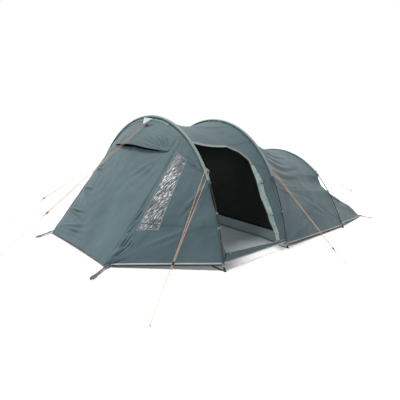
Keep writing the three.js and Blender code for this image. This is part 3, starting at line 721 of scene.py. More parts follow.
def add_guylines():
    for name, (tab, peg, slide, spread) in GUYS.items():
        points, up, aside = guy_route(np.array(tab), peg, slide, spread)
        path = smooth_path(points)
        line = tube(f"{name}_line", path, GUY_RADIUS, braid, "cord", sides=8, normals=np.cross(up, aside))
        tail = knot(f"{name}_knot", path[-1] + up * 0.004, up, 0.0032)
        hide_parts(f"{name}_guyline")
        row_path = to_row(path)
        total = float(np.linalg.norm(np.diff(row_path, axis=0), axis=1).sum())
        print("cord", name, round(total, 3))


add_camera()
add_guylines()


# ---------------------------------------------------------------- poles, sleeves, feet and clips

def add_poles():
    for name, hoop in hoops.items():
        end = 0.014 / hoop.total
        shares = np.linspace(end, 1 - end, 160)
        path = hoop.at(shares)
        across, up = frames_on(path, hoop.outwards(shares))
        # Joined rods, slightly thicker at each joint.
        joint = np.abs((shares * hoop.total / 0.62) % 1 - 0.5) < 0.032
        radii = POLE_RADIUS * np.where(joint, 1.16, 1.0)
        outline = ellipse(1, 1, 14)[None] * radii[:, None, None]
        obj = new_object(f"{name}_hoop", *sweep(to_row(path), across, up, outline), pole_gloss, "pole")
        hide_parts(f"{name}_pole")


def add_sleeves():
    for name, hoop in hoops.items():
        sleeve_end = hoop.sleeve_end
        count = 260
        shares = np.linspace(sleeve_end, 1 - sleeve_end, count)
        path = hoop.at(shares)
        out = unit(hoop.outwards(shares))
        across, up = frames_on(path, out)
        pucker = smooth_noise(path * 22, 3) * 0.0016
        flat = smooth_noise(path * 7, 9) * 0.0012
        rings = []
        for k in range(count):
            wide, high = 0.0165 + flat[k], 0.0115 + pucker[k]
            end_fade = min(1.0, min(k, count - 1 - k) / 4 + 0.78)
            rings.append(ellipse(wide * end_fade, high * end_fade, 18))
        outer = np.array(rings)
        skins = [rings_along(path, across, up, rim).reshape(-1, 3) for rim in (outer, outer * 0.86)]
        index, turned, walls = ring_faces(*outer.shape[:2])
        size = index.size
        first = np.stack([turned[0], index[0], index[0] + size, turned[0] + size], -1)
        last = np.stack([index[-1], turned[-1], turned[-1] + size, index[-1] + size], -1)
        faces = np.concatenate([walls, walls[:, ::-1] + size, first, last])
        vertices = to_row(np.concatenate(skins))
        obj = new_object(f"{name}_sleeve_cloth", vertices, faces, fabric_pale, "sleeve")
        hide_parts(f"{name}_sleeve")
        girth = float(np.linalg.norm(np.diff(np.append(outer[9], outer[9][:1], 0), axis=0), axis=1).sum())
        for edge, start in (("right", sleeve_end), ("left", 1 - sleeve_end)):
            inward = 1 if edge == "right" else -1
            around = hoop.at(np.linspace(start, start + inward * 0.008, 5))
            bar(f"{name}_{edge}_sleeve_end", around, hoop.outwards(start), ellipse(0.0172, 0.0122, 18),
                seam_cloth, "sleeve")


def add_sleeve_flanges():
    """The doubled edge that joins a sleeve to the cloth under it, one band on each side."""
    for name, hoop in hoops.items():
        shares = np.linspace(hoop.sleeve_end, 1 - hoop.sleeve_end, 200)
        for word, offset in (("front", -0.0155), ("back", 0.0155)):
            path = hoop.at(shares, SLEEVE_RADIUS - 0.001)
            path[:, 1] += offset
            out = hoop.outwards(shares)
            band(f"{name}_{word}_flange", path, out, 0.011, 0.002, seam_cloth, "sleeve")


def clip(name, hoop, share):
    """A plastic hook over the bare pole, on a short tape from the cloth's edge."""
    centre = hoop.at(share)
    out = unit(hoop.outwards(share))
    along = unit(hoop.at(share + 0.002) - hoop.at(share - 0.002))
    side = np.cross(along, out)
    angles = np.linspace(-0.5, math.pi * 1.5, 20)
    ring = centre + np.outer(np.cos(angles), side) * 0.0095 + np.outer(np.sin(angles), out) * 0.0095
    across = np.broadcast_to(along, ring.shape)
    lift = unit(ring - centre)
    vertices, faces = sweep(ring, across, lift, ellipse(0.009, 0.0022, 8))
    new_object(f"{name}_hook", to_row(vertices), faces, grey_plastic, "plastic")
    cloth_edge = hoop.fabric(share)
    tape_path = np.array([centre - out * 0.008, (centre + cloth_edge) / 2, cloth_edge - out * 0.012])
    band(f"{name}_tape", tape_path, side, 0.016, 0.002, pale_webbing, "webbing")


def add_clips():
    for name, hoop in hoops.items():
        for k, share in enumerate(hoop.clips):
            clip(f"{name}_right_clip{k + 1}", hoop, share)
            clip(f"{name}_left_clip{k + 1}", hoop, 1 - share)


def add_foot_ties():
    """At each foot, a pale strap with a ring ties the hem's corner to the cup under the pole."""
    for name, hoop in hoops.items():
        for word, share, side in (("right", 0.004, 1), ("left", 0.996, -1)):
            foot = hoop.at(share)
            hem = hoop.fabric(HEM if side > 0 else 1 - HEM)
            middle = (foot + hem) / 2 + np.array((0.004 * side, 0, 0.004))
            path = smooth_path(np.array([foot + (0.003 * side, 0, 0.030), middle, hem]), 6)
            band(f"{name}_{word}_foot_tie", path, (side, 0, 0.2), 0.018, 0.002, pale_webbing, "webbing")
            turns = np.linspace(0, 2 * np.pi, 25)
            centre = foot + np.array((0.004 * side, 0, 0.046))
            ring = centre + np.outer(np.cos(turns), (0, 0.012, 0)) + np.outer(np.sin(turns), (0, 0, 0.012))
            tube(f"{name}_{word}_foot_ring", ring, 0.0016, steel, "steel", 8, (side, 0, 0))


def use(node, material):
    for material_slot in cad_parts[node].material_slots:
        material_slot.material = material


def dress_cad_nodes():
    for name in HOOPS:
        for side in ("right", "left"):
            use(f"{name}_{side}_foot", dark_plastic)
    for name in GUYS:
        use(f"{name}_slider", dark_plastic)
        use(f"{name}_peg", steel)
    for word in ("upper", "lower"):
        use(f"{word}_door_toggle", dark_plastic)
    use("sill_zip_slider", zip_plastic)


add_poles()
add_sleeves()
add_sleeve_flanges()
add_clips()
add_foot_ties()
dress_cad_nodes()


# ---------------------------------------------------------------- flysheet

OPEN = (0.001, 0.999)

porch_panel = Panel(
    porch, (DOOR_TOP + 0.004, 1 - HEM), OPEN, (0, 0.555, 0.3), ripple=(0.006, 0.22, 0.35), seed=2,
    creases=[*fan((0.40, 1.0), (0.36, 0.35), (0.56, 0.3), 6, 0.022, 0.006, 4),
             *fan((0.42, 0.0), (0.37, 0.7), (0.6, 0.7), 6, 0.024, 0.006, 5),
             *fan((0.56, 1.0), (0.5, 0.2), (0.7, 0.2), 5, 0.03, 0.006, 6),
             *fan((1 - 0.228, 1.0), (0.95, 0.1), (0.7, 0.2), 6, 0.035, 0.008, 7),
             *fan((0.97, 0.0), (0.75, 0.9), (0.95, 0.9), 6, 0.04, 0.008, 8)])
jamb_panel = Panel(
    porch, (0.024, DOOR_TOP + 0.004), (0.5, 0.999), (0, 0.555, 0.3), ripple=(0.003, 0.12, 0.2), seed=3,
    edge=0.02, creases=fan((0.228, 1.0), (0.1, 0.8), (0.31, 0.75), 5, 0.02, 0.004, 9))
sill_panel = Panel(porch, (HEM, SILL_TOP[0]), OPEN, (0, 0.555, 0.0), ripple=(0.006, 0.10, 0.16), seed=4)
BEDROOM_CREASES = [
    *fan((0.03, 0.0), (0.08, 0.65), (0.20, 0.7), 7, 0.034, 0.014, 5),
    *fan((0.03, 1.0), (0.10, 0.3), (0.2, 0.35), 4, 0.050, 0.004, 6),
    *fan((0.19, 0.0), (0.12, 0.4), (0.22, 0.6), 4, 0.028, 0.012, 4),
]
BEDROOM_FOLDS = [
    (0.42, 0.45, 0.045, 0.014, 0.014, 0.0, 0.9),
    (0.375, 0.42, 0.060, 0.013, 0.024, 0.0, 0.8),
    (0.33, 0.38, 0.060, 0.012, 0.020, 0.0, 0.6),
    (0.29, 0.37, 0.065, 0.013, 0.028, 0.0, 0.75),
    (0.245, 0.31, 0.050, 0.012, 0.024, 0.0, 0.6),
]
bedroom_right = Panel(bedroom, (BEDROOM_HEM, 0.5), OPEN, (0, 1.9, 0.3), BEDROOM_CREASES,
                      (0.010, 0.25, 0.4), 5, folds=BEDROOM_FOLDS)
mirrored = [((1 - a[0], a[1]), (1 - b[0], b[1]), width, height) for a, b, width, height in BEDROOM_CREASES]
mirrored_folds = [(1 - low, 1 - high, -dip, *rest) for low, high, dip, *rest in BEDROOM_FOLDS]
bedroom_left = Panel(bedroom, (0.5, 1 - BEDROOM_HEM), OPEN, (0, 1.9, 0.3), mirrored, (0.010, 0.25, 0.4), 6,
                     folds=mirrored_folds)
rear_panel = Panel(
    rear_slope, (HEM, 1 - HEM), (0, 0.999), (0, 2.7, 0.3), ripple=(0.008, 0.3, 0.3), seed=7,
    creases=[*fan((0.33, 0.02), (0.12, 0.95), (0.30, 0.95), 5, 0.035, 0.010, 7),
             *fan((0.67, 0.02), (0.88, 0.95), (0.70, 0.95), 5, 0.035, 0.010, 8),
             *fan((0.34, 0.02), (0.36, 0.8), (0.46, 0.8), 4, 0.05, 0.010, 9),
             *fan((0.66, 0.02), (0.64, 0.8), (0.54, 0.8), 4, 0.05, 0.010, 10)])
# Short gathers beside the right shoulder seam, between the window's foot and the corner.
SEAM_GATHERS = [
    ((0.287, 0.140), (0.297, 0.270), 0.009, -0.010),
    ((0.262, 0.160), (0.270, 0.285), 0.009, -0.010),
    ((0.322, 0.240), (0.304, 0.335), 0.009, -0.010),
    ((0.214, 0.205), (0.236, 0.260), 0.009, -0.009),
    ((0.188, 0.235), (0.206, 0.275), 0.009, -0.007),
    ((0.250, 0.085), (0.215, 0.225), 0.011, -0.012),
    ((0.120, 0.020), (0.110, 0.190), 0.014, -0.012),
    ((0.330, 0.330), (0.328, 0.460), 0.008, -0.010),
]
centre_panel = Panel(
    front_slope, (SHOULDER_SEAM, 1 - SHOULDER_SEAM), (0, 0.999), (0, 0, 0.3), ripple=(0.012, 0.22, 0.4),
    seed=8,
    creases=[*fan((0.642, 0.60), (0.575, 0.48), (0.585, 0.62), 4, 0.018, 0.014, 11),
             *fan((0.642, 0.42), (0.54, 0.24), (0.57, 0.42), 5, 0.020, 0.020, 12),
             *fan((0.642, 0.22), (0.52, 0.10), (0.54, 0.24), 5, 0.018, 0.018, 13),
             *fan((0.642, 0.06), (0.46, 0.04), (0.48, 0.18), 5, 0.018, 0.016, 14),
             *fan((0.372, 0.80), (0.39, 0.45), (0.48, 0.50), 5, 0.030, 0.006, 16)])
right_panel = Panel(
    front_slope, (FRONT_HEM, SHOULDER_SEAM), (0, 0.999), (0, 0, 0.3), ripple=(0.009, 0.16, 0.3), seed=9,
    creases=[*fan((0.240, 0.995), (0.305, 0.84), (0.335, 0.93), 5, 0.014, 0.014, 17),
             *fan((0.205, 0.995), (0.12, 0.72), (0.19, 0.66), 5, 0.022, 0.010, 18),
             *SEAM_GATHERS,
             *fan((0.340, 0.02), (0.28, 0.20), (0.20, 0.10), 5, 0.022, 0.014, 20),
             *fan((0.12, 0.9), (0.08, 0.3), (0.16, 0.35), 3, 0.035, 0.008, 21)])
left_panel = Panel(
    front_slope, (1 - SHOULDER_SEAM, 1 - FRONT_HEM), (0, 0.999), (0, 0, 0.3), ripple=(0.006, 0.2, 0.3),
    seed=10,
    creases=[*fan((0.764, 0.995), (0.66, 0.6), (0.75, 0.45), 6, 0.035, 0.010, 20),
             *fan((0.66, 0.02), (0.67, 0.5), (0.8, 0.5), 5, 0.035, 0.010, 21)])


def jamb_warp(u, v):
    foot = sill_top(door_edge(0) + (0.999 - door_edge(0)) * v) + 0.002
    share = foot + (DOOR_TOP + 0.004 - foot) * u
    edge = door_edge(share)
    return share, edge + (0.999 - edge) * v


def sill_warp(u, v):
    """The sill's top is cut away in a curve beside the front pole."""
    way = OPEN[0] + (OPEN[1] - OPEN[0]) * v
    top = sill_top(way) - 0.0175 * np.clip(1 - (way - 0.02) / 0.06, 0, 1) ** 1.5
    return HEM + (top - HEM) * u, way


def front_jamb_warp(u, v):
    """A narrow strip of cloth behind the front pole, widest just above the sill."""
    share = 0.022 + 0.088 * u
    edge = np.interp(share, (0.022, 0.040, 0.110), (0.012, 0.056, 0.004))
    return share, 0.002 + (edge - 0.002) * v


def add_flysheet():
    cloth("porch_roof", porch_panel, 200, 90, fabric, "fabric", "porch_fly")
    cloth("door_jamb", jamb_panel, 120, 40, fabric, "fabric", "door_jamb_fly", warp=jamb_warp)
    cloth("sill", sill_panel, 12, 160, fabric, "fabric", "door_sill", warp=sill_warp)
    narrow = Panel(porch, (0.02, 0.12), (0, 0.06), (0, 0.555, 0.3))
    cloth("front_jamb", narrow, 40, 6, fabric, "fabric", warp=front_jamb_warp)
    # A black band along the narrow strip's edge is painted shade: the dark gap between the front pole and the
    # cut-away end of the sill.
    part = np.linspace(0, 1, 20)
    shares, ways = 0.0215 + 0.0185 * part, 0.020 + 0.045 * part
    band("front_jamb_painted_shade", *narrow.line(shares, ways, -0.002), 0.012, 0.0014, black_cloth, "trim")
    cloth("bedroom_right", bedroom_right, 180, 160, fabric, "fabric", "bedroom_right_fly")
    cloth("bedroom_left", bedroom_left, 180, 160, fabric, "fabric", "bedroom_left_fly")
    cloth("rear_end", rear_panel, 300, 90, fabric, "fabric", "rear_fly")
    cloth("front_centre", centre_panel, 130, 150, fabric, "fabric", "front_fly_centre")
    cloth("front_left", left_panel, 120, 130, fabric, "fabric", "front_fly_left")
    return cloth("front_right", right_panel, 150, 170, fabric, "fabric", "front_fly_right")


def window_point(u, v):
    """u across from the window's left side, v down from its top, in the window's own plane."""
    top_left, top_right, low_right, low_left = (np.array(corner) for corner in WINDOW)
    u, v = np.asarray(u)[..., None], np.asarray(v)[..., None]
    top = top_left * (1 - u) + top_right * u
    low = low_left * (1 - u) + low_right * u
    return top * (1 - v) + low * v


def window_normal():
    top_left, top_right, _, low_left = (np.array(corner) for corner in WINDOW)
    normal = unit(np.cross(top_right - top_left, low_left - top_left))
    return normal if normal[0] > 0 else -normal


def project(tree, points, normal, lift):
    """Moves points onto a sheet, along one direction, and off it by lift."""
    flat = to_row(points).reshape(-1, 3)
    found = []
    for point in flat:
        hit = tree.ray_cast(Vector(point + normal * 0.2), Vector(-normal))[0]
        found.append(np.array(hit) if hit else point)
    moved = np.array(found).reshape(np.shape(points)) + normal * lift
    moved[..., 1] += ORIGIN
    return moved


def add_window(panel):
    normal = window_normal()
    depsgraph = bpy.context.evaluated_depsgraph_get()
    tree = BVHTree.FromObject(panel, depsgraph)
    edges = []
    for start, end in (((0, 0), (1, 0)), ((1, 0), (1, 1)), ((1, 1), (0, 1)), ((0, 1), (0, 0))):
        part = np.linspace(0, 1, 40)
        path = window_point(start[0] + (end[0] - start[0]) * part, start[1] + (end[1] - start[1]) * part)
        edges.append(project(tree, path, normal, 0.0012))
    columns, rows = 60, 200
    u, v = np.meshgrid(np.linspace(-0.02, 1.02, columns + 1), np.linspace(-0.008, 1.008, rows + 1))
    base = project(tree, window_point(u, v), normal, 0.0)
    along, over = v * 0.80, u * 0.145
    # The creases run up the window and slightly to its right.
    turned = np.stack([over * 0.377 - along * 0.926, over * 0.926 + along * 0.377, 0 * u], -1)
    crumple = (0.0035 * np.abs(smooth_noise(turned * (12, 55, 1), 3))
               + 0.0012 * smooth_noise(turned * (30, 110, 1), 5))
    fade = np.minimum(np.minimum(u + 0.02, 1.02 - u) / 0.10, np.minimum(v + 0.008, 1.008 - v) / 0.03)
    fade = fade * np.clip((v - 0.14) / 0.16, 0.04, 1)
    outer = base + normal * (crumple * np.clip(fade, 0, 1) - 0.002)[..., None]
    inner = outer - normal * 0.0006
    pane = closed_sheet("window_film", outer, inner, film, "window")
    coordinates = np.tile(turned[..., :2].reshape(-1, 2), (2, 1))
    corners = np.empty(len(pane.data.loops), dtype=int)
    pane.data.loops.foreach_get("vertex_index", corners)
    pane.data.uv_layers.new(name="film").data.foreach_set("uv", coordinates[corners].ravel())
    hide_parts("window_pane")
    note_sheet(base)

    corner_u, corner_v = np.array([0.03, 0.97, 0.97, 0.03]), np.array([0.01, 0.01, 0.99, 0.99])
    cutter_outline = to_row(window_point(corner_u, corner_v))
    near, far = cutter_outline + normal * 0.15, cutter_outline - normal * 0.15
    faces = [(3, 2, 1, 0), (4, 5, 6, 7), *((k, (k + 1) % 4, (k + 1) % 4 + 4, k + 4) for k in range(4))]
    mesh = bpy.data.meshes.new("cutter")
    mesh.from_pydata([tuple(v) for v in np.concatenate([near, far])], [], faces)
    mesh.update()
    cutter = bpy.data.objects.new("cutter", mesh)
    bpy.context.scene.collection.objects.link(cutter)
    modifier = panel.modifiers.new("window", "BOOLEAN")
    modifier.operation, modifier.solver, modifier.object = "DIFFERENCE", "EXACT", cutter
    with bpy.context.temp_override(object=panel, active_object=panel):
        bpy.ops.object.modifier_apply(modifier="window")
    bpy.data.objects.remove(cutter)
    for k, path in enumerate(edges):
        band(f"window_frame{k + 1}", path, normal, 0.006, 0.0018, binding_cloth, "fabric")


add_window(add_flysheet())


# ---------------------------------------------------------------- seams, hems and the vent hood

def seam(name, panel, shares, ways, width=0.012, material=seam_cloth):
    """A flat-felled seam on a panel, along a line of shares and ways."""
    share, way = np.linspace(*shares, 120), np.linspace(*ways, 120)
    band(name, *panel.line(share, way, 0.0006), width, 0.0016, material, "fabric")


def piping(name, path, normals, width=0.016, height=0.007, material=hem_tape):
    """The hem's bound edge: a flattened roll."""
    return bar(name, path, normals, ellipse(width / 2, height / 2), material, "trim")


def add_seams():
    seam("shoulder_seam_right", right_panel, (SHOULDER_SEAM - 0.002,) * 2, (0.01, 0.985), 0.012, fabric)
    seam("shoulder_seam_left", left_panel, (1 - SHOULDER_SEAM + 0.002,) * 2, (0.01, 0.985), 0.012, fabric)
    # The sleeve's doubled edge, sewn down on the front.
    for name, panel, shares in (("centre", centre_panel, (0.42, 1 - SHOULDER_SEAM)),
                                ("left", left_panel, (1 - SHOULDER_SEAM, 0.79))):
        edge = panel.line(np.linspace(*shares, 120), 0.984, 0.004)
        band(f"front_{name}_sleeve_skirt", *edge, 0.034, 0.0012, skirt_cloth, "sleeve")
    seam("ridge_seam", bedroom_right, (0.4985, 0.4985), (0.02, 0.98), 0.014)
    # A level seam runs from the pole to the window's foot.
    shares = np.linspace(0.098, 0.352, 90)
    ways = 0.36 / (hoops["front"].fabric(shares)[:, 2] - 0.012)
    cross = right_panel.line(shares, ways, 0.0006)
    band("front_right_cross_seam", *cross, 0.010, 0.0016, seam_cloth, "fabric")
    seam("door_top_seam", porch_panel, (DOOR_TOP + 0.005,) * 2, (0.57, 0.985), 0.014, fabric)


def add_hems():
    for name, panel, shares in (("front", centre_panel, (SHOULDER_SEAM, 1 - SHOULDER_SEAM)),
                                ("rear", rear_panel, (REAR_SEAM, 1 - REAR_SEAM))):
        piping(f"{name}_hem", *panel.line(np.linspace(*shares, 160), 0.002, 0.001), 0.012, 0.005, seam_cloth)
    # From a hoop's foot to a corner. height is how far the binding lies above the cloth's edge.
    ways = np.linspace(0.03, 0.99, 120)
    for name, panel, side, start, total, height, material in (
            ("front_right", right_panel, 1, FRONT_HEM, hoops["front"].total, 0.020, hem_tape),
            ("front_right_lower", right_panel, 1, FRONT_HEM, hoops["front"].total, 0.006, bottom_edge_dark),
            ("front_left", left_panel, -1, FRONT_HEM, hoops["front"].total, 0.006, seam_cloth),
            ("rear_right", rear_panel, 1, HEM, hoops["rear"].total, 0.006, hem_tape),
            ("rear_left", rear_panel, -1, HEM, hoops["rear"].total, 0.006, hem_tape)):
        shares = start + height / (0.12 + total * ways)
        shares = shares if side > 0 else 1 - shares
        piping(f"{name}_hem", *panel.line(shares, ways, 0.001), 0.014, 0.006, material)
    ways = np.linspace(0.006, 0.994, 90)
    for name, panel, share in (("bedroom_right", bedroom_right, BEDROOM_HEM), ("sill", sill_panel, HEM),
                               ("bedroom_left", bedroom_left, 1 - BEDROOM_HEM),
                               ("porch_left", porch_panel, 1 - HEM)):
        piping(f"{name}_hem", *panel.line(share, ways, 0.001), 0.013, 0.005)
    ways = np.linspace(0.085, 0.994, 90)
    piping("sill_top_edge", *sill_panel.line(sill_top(ways), ways, 0.001), 0.007, 0.004, binding_cloth)
    # The cloth's edges where they hang clear of the bare poles are bound too.
    for name, hoop in hoops.items():
        for word, mirror in (("right", False), ("left", True)):
            shares = np.linspace(HEM, hoop.sleeve_end, 60)
            shares = 1 - shares if mirror else shares
            piping(f"{name}_{word}_edge", hoop.fabric(shares), hoop.outwards(shares), 0.014, 0.004,
                   seam_cloth)


def hood_lip(arch):
    """Where the hood's lip lies on the slope; arch runs from 0 at its sides to 1 in its middle."""
    return HOOD_LIP + HOOD_LIP_RISE * (1 - arch) ** 1.5


def hood_surface(u, v):
    u, v = pair(u, v)
    share = HOOD_SIDE + (1 - 2 * HOOD_SIDE) * u
    arch = np.sin(np.pi * np.clip(u, 0, 1))
    lip = hood_lip(arch)
    point = front_slope(share, HOOD_TOP + (lip - HOOD_TOP) * v)
    bulge = (HOOD_BULGE + 0.005) * arch ** 0.7 * np.sin(np.pi / 2 * np.clip(v, 0, 1)) - 0.002
    return point + np.array((0, -0.84, 0.54)) * bulge[..., None]


def add_hood():
    panel = Panel(hood_surface, (0, 1), (0, 1), (0, 0.2, 0.3), ripple=(0.007, 0.12, 0.12), seed=11, edge=0.06,
                  creases=[*fan((0.08, 0.95), (0.30, 0.5), (0.36, 0.9), 5, 0.016, 0.012, 22),
                           *fan((0.5, 0.02), (0.2, 0.8), (0.8, 0.8), 5, 0.028, 0.007, 23),
                           *fan((0.03, 0.9), (0.14, 0.3), (0.25, 0.6), 4, 0.016, 0.010, 24)])
    cloth("hood", panel, 150, 70, fabric, "fabric", "vent_hood")
    u = np.linspace(0.01, 0.99, 120)
    lip = panel.at(u, np.full(120, 0.995))
    piping("hood_lip", lip, panel.normal(u, np.full(120, 0.99)), 0.014, 0.006, seam_cloth)
    # The vent lies just over the front panel, under the hood, and follows its lip. It starts a little below
    # the lip, where its near-black colour is painted shade for the gap under the lip.
    u, v = np.meshgrid(np.linspace(0.12, 0.95, 60), np.linspace(0.0, 1.0, 20))
    low = hood_lip(np.sin(np.pi * u)) - 0.004
    share, way = HOOD_SIDE + (1 - 2 * HOOD_SIDE) * u, low + (0.9 - low) * v
    outer = centre_panel.at(share, way, 0.0024)
    inner = centre_panel.at(share, way, 0.0010)
    vent = closed_sheet("vent_mesh_panel", outer, inner, dark_vent_and_shade, "inner")
    note_sheet(outer)


add_seams()
add_hems()
add_hood()


# ---------------------------------------------------------------- the door

def add_door():
    # The bound flap along the top of the door, then down the slanted part of its edge.
    hoop = hoops["front"]
    rise, reach, turn, end = BINDING / hoop.total, BINDING / 1.110, 0.62, 0.235

    def strip(u, v):
        u, v = pair(u, v)
        top = porch(DOOR_TOP + rise * (v - 0.5), 0.01 + (door_edge(DOOR_TOP) - 0.01) * u / turn)
        done = np.clip((u - turn) / (1 - turn), 0, 1)
        share = DOOR_TOP - rise / 2 + (end - DOOR_TOP + rise / 2) * done
        down = porch(share + rise * v * (1 - done), door_edge(share) + reach * v * done)
        return np.where((u < turn)[..., None], top, down)

    flap = Panel(strip, (0, 1), (0, 1), (0, 0.555, 0.3), ripple=(0.002, 0.05, 0.08), seed=12, edge=0.02)
    u, v = np.meshgrid(np.linspace(0, 1, 200), np.linspace(0, 1, 12))
    outer = flap.at(u, v, 0.0055)
    inner = flap.at(u, v, 0.003)
    obj = closed_sheet("door_flap", outer, inner, binding_cloth, "trim")
    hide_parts("door_binding")
    note_sheet(outer)

    # The door turned back: a soft padded strip with long folds and cross wrinkles.
    def rolled(u, v):
        u, v = pair(u, v)
        share = ROLL_TOP + (sill_top(0.87) + 0.003 - ROLL_TOP) * u
        opened = 0.42 + 0.58 * np.clip(u / 0.22, 0, 1)
        width = ROLLED_DOOR * opened * (1 - 0.35 * np.clip(u - 0.6, 0, 1) / 0.4)
        return porch(share, door_edge(share) - 0.004 + width * v)

    roll = Panel(rolled, (0, 1), (0, 1), (0, 0.555, 0.3), seed=13)
    u, v = np.meshgrid(np.linspace(0, 1, 220), np.linspace(0, 1, 40))
    # The toggles press it flat, and have room to turn.
    pressed = sum(np.exp(-((u - place) / 0.05) ** 2) for place in TOGGLE_PLACES)
    profile = 0.003 + (0.018 - 0.004 * pressed) * np.sqrt(np.maximum(0.04, np.sin(np.pi * v)))
    base = rolled(u, v)
    folds = (0.0045 * np.sin(11 * v + 3.0 * smooth_noise(base * 6, 2))
             + 0.010 * np.abs(smooth_noise(base * (20, 22, 26), 4))
             + 0.003 * smooth_noise(base * 55, 6))
    soft = np.clip(np.minimum(v, 1 - v) / 0.12, 0, 1) * (1 - pressed)
    normal = roll.normal(np.clip(u, 0.002, 0.998), np.clip(v, 0.01, 0.99))
    outer = base + normal * (profile + (folds - 0.002) * soft)[..., None]
    inner = base + normal * 0.003
    rolled_obj = closed_sheet("turned_back_door", outer, inner, fabric_inner_side, "lining")
    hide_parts("rolled_door")
    area_of((outer + inner) / 2)

    # The zip that follows the edge of the opening, and the toggle loops.
    share = np.linspace(sill_top(0.83) + 0.003, DOOR_TOP - 0.01, 150)
    way = door_edge(share)
    tape = jamb_panel.line(share, way, -0.0015)
    band("door_zip_tape", *tape, 0.016, 0.0012, tape_webbing, "zip_metal")
    ways = np.linspace(0.085, 0.8, 120)
    top = sill_top(ways) - 0.003
    # It sinks into the cloth at the rear end, where the zip slider comes closest.
    lift = np.interp(ways, (0.45, 0.65), (0.0006, -0.0014))
    band("sill_zip_tape", *sill_panel.line(top, ways, lift), 0.008, 0.0014, seam_cloth, "zip_metal")
    for word, place in zip(("upper", "lower"), TOGGLE_PLACES):
        v = np.linspace(-0.05, 1.05, 30)
        u = np.full(30, place)
        arch = 0.004 + 0.0145 * np.sqrt(np.clip(np.sin(np.pi * v), 0.0, 1))
        path = rolled(u, v) + roll.normal(u, np.clip(v, 0.01, 0.99)) * arch[:, None]
        band(f"{word}_toggle_loop", path, roll.normal(u, np.clip(v, 0.01, 0.99)), 0.007, 0.0018,
             binding_cloth, "webbing")


add_door()


# ---------------------------------------------------------------- inner tent and groundsheets

def add_inner_tent():
    foot = TRAY_HEIGHT + 0.012

    def wall(u, v):
        u, v = pair(u, v)
        top = hung(INNER_BOTTOM + (1 - 2 * INNER_BOTTOM) * u, np.zeros(u.shape))
        height = np.maximum(top[..., 2], foot + 0.005)
        return np.stack([top[..., 0], np.full(u.shape, INNER_FRONT), foot + (height - foot) * v], -1)

    front = Panel(wall, (0, 1), (0, 1), (0, 3, 0.6), ripple=(0.014, 0.22, 0.3), seed=14,
                  creases=[*fan((0.1, 0.98), (0.2, 0.1), (0.5, 0.1), 5, 0.04, 0.012, 25),
                           *fan((0.9, 0.98), (0.8, 0.1), (0.5, 0.1), 5, 0.04, 0.012, 26)])
    cloth("inner_wall", front, 140, 70, black_cloth, "inner", "inner_front_wall")
    # A short zip tape on the inner wall is all that stands for its door.
    part = np.linspace(0, 1, 60)
    arc = front.at(0.33 - 0.17 * part, 0.93 - 0.05 * part, 0.002)
    band("inner_door_zip", arc, (0, -1, 0), 0.010, 0.0015, tape_webbing, "webbing")

    start, end, turn = 0.05, 0.985, 0.6

    def canopy(u, v):
        u, v = pair(u, v)
        share = INNER_BOTTOM + (1 - 2 * INNER_BOTTOM) * u
        top = hung(share, start + (end - start) * np.minimum(v / turn, 1))
        back = np.stack([(TRAY_HALF - 0.1) * (1 - 2 * u), np.full(u.shape, INNER_REAR),
                         np.full(u.shape, foot)], -1)
        part = np.clip((v - turn) / (1 - turn), 0, 1)[..., None]
        return top * (1 - part) + back * part

    body = Panel(canopy, (0, 1), (0, 1), (0, 2.1, 0.0), ripple=(0.010, 0.3, 0.4), seed=15)
    cloth("inner_body", body, 110, 90, black_cloth, "inner", "inner_canopy")

    # The tray: floor and upright sides as one sheet with rounded folds.
    half, front_y, rear_y = TRAY_HALF, INNER_FRONT, INNER_REAR
    outline_x = np.linspace(-1, 1, 121)
    outline_y = np.linspace(-1, 1, 121)
    xx, yy = np.meshgrid(outline_x, outline_y)
    reach = 1 + TRAY_HEIGHT / half
    middle, depth = (front_y + rear_y) / 2, (rear_y - front_y) / 2
    flat_x, flat_y = xx * reach * half, yy * (depth + TRAY_HEIGHT)
    rise = np.clip(np.maximum(np.abs(flat_x) - half, np.abs(flat_y) - depth), 0, TRAY_HEIGHT)
    soft = 0.004 * smooth_noise(np.stack([flat_x, flat_y, rise], -1) * (7, 7, 3), 5) * (rise / TRAY_HEIGHT)
    x = np.clip(flat_x, -half + 0.002, half - 0.002) + soft
    y = middle + np.clip(flat_y, -depth + 0.002, depth - 0.002) + soft
    outer = np.stack([x, y, 0.0026 + rise], -1)
    inner = outer + np.stack([-np.sign(x) * 0.001 * (rise > 0), -np.sign(flat_y) * 0.001 * (rise > 0),
                              np.full(x.shape, 0.001)], -1)
    tray = closed_sheet("bedroom_tray", outer, inner, tray_cloth, "floor")
    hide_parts("inner_floor")
    area_of(outer)
    rim = np.array([(-half, front_y - 0.001, TRAY_HEIGHT), (half, front_y - 0.001, TRAY_HEIGHT)])
    path = rim[0] + (rim[1] - rim[0]) * np.linspace(0, 1, 60)[:, None]
    band("tray_rim", path, (0, -1, 0), 0.012, 0.002, black_cloth, "inner")

    u, v = np.meshgrid(np.linspace(-1.065, 1.065, 110), np.linspace(0.015, INNER_FRONT - 0.004, 70))
    base = np.stack([u, v, np.full(u.shape, 0.004)], -1)
    bumps = np.abs(smooth_noise(base * (5, 7, 1), 8)) * 0.012
    bumps += np.abs(smooth_noise(base * (14, 14, 1), 9)) * 0.004
    outer = base + np.stack([0 * u, 0 * u, bumps], -1)
    inner = outer - np.array((0, 0, 0.0012))
    mat = closed_sheet("porch_floor", outer, inner, ground_cloth, "floor")
    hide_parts("porch_groundsheet")


add_inner_tent()


# ---------------------------------------------------------------- tapes, corner loops and guy tabs

def add_tapes():
    """The tapes across the ground: woven and slightly wavy."""
    for name, hoop in hoops.items():
        reach = HOOPS[name]["half"] - 0.019
        x = np.linspace(-reach, reach, 160)
        path = np.stack([x, np.full(160, hoop.y), 0.0002 + 0.0006 * (1 + np.sin(x * 23))], -1)
        obj = band(f"{name}_ground_tape", path, (0, 0, 1), 0.025, 0.0014, tape_webbing, "webbing")
        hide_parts(f"{name}_cross_tape")


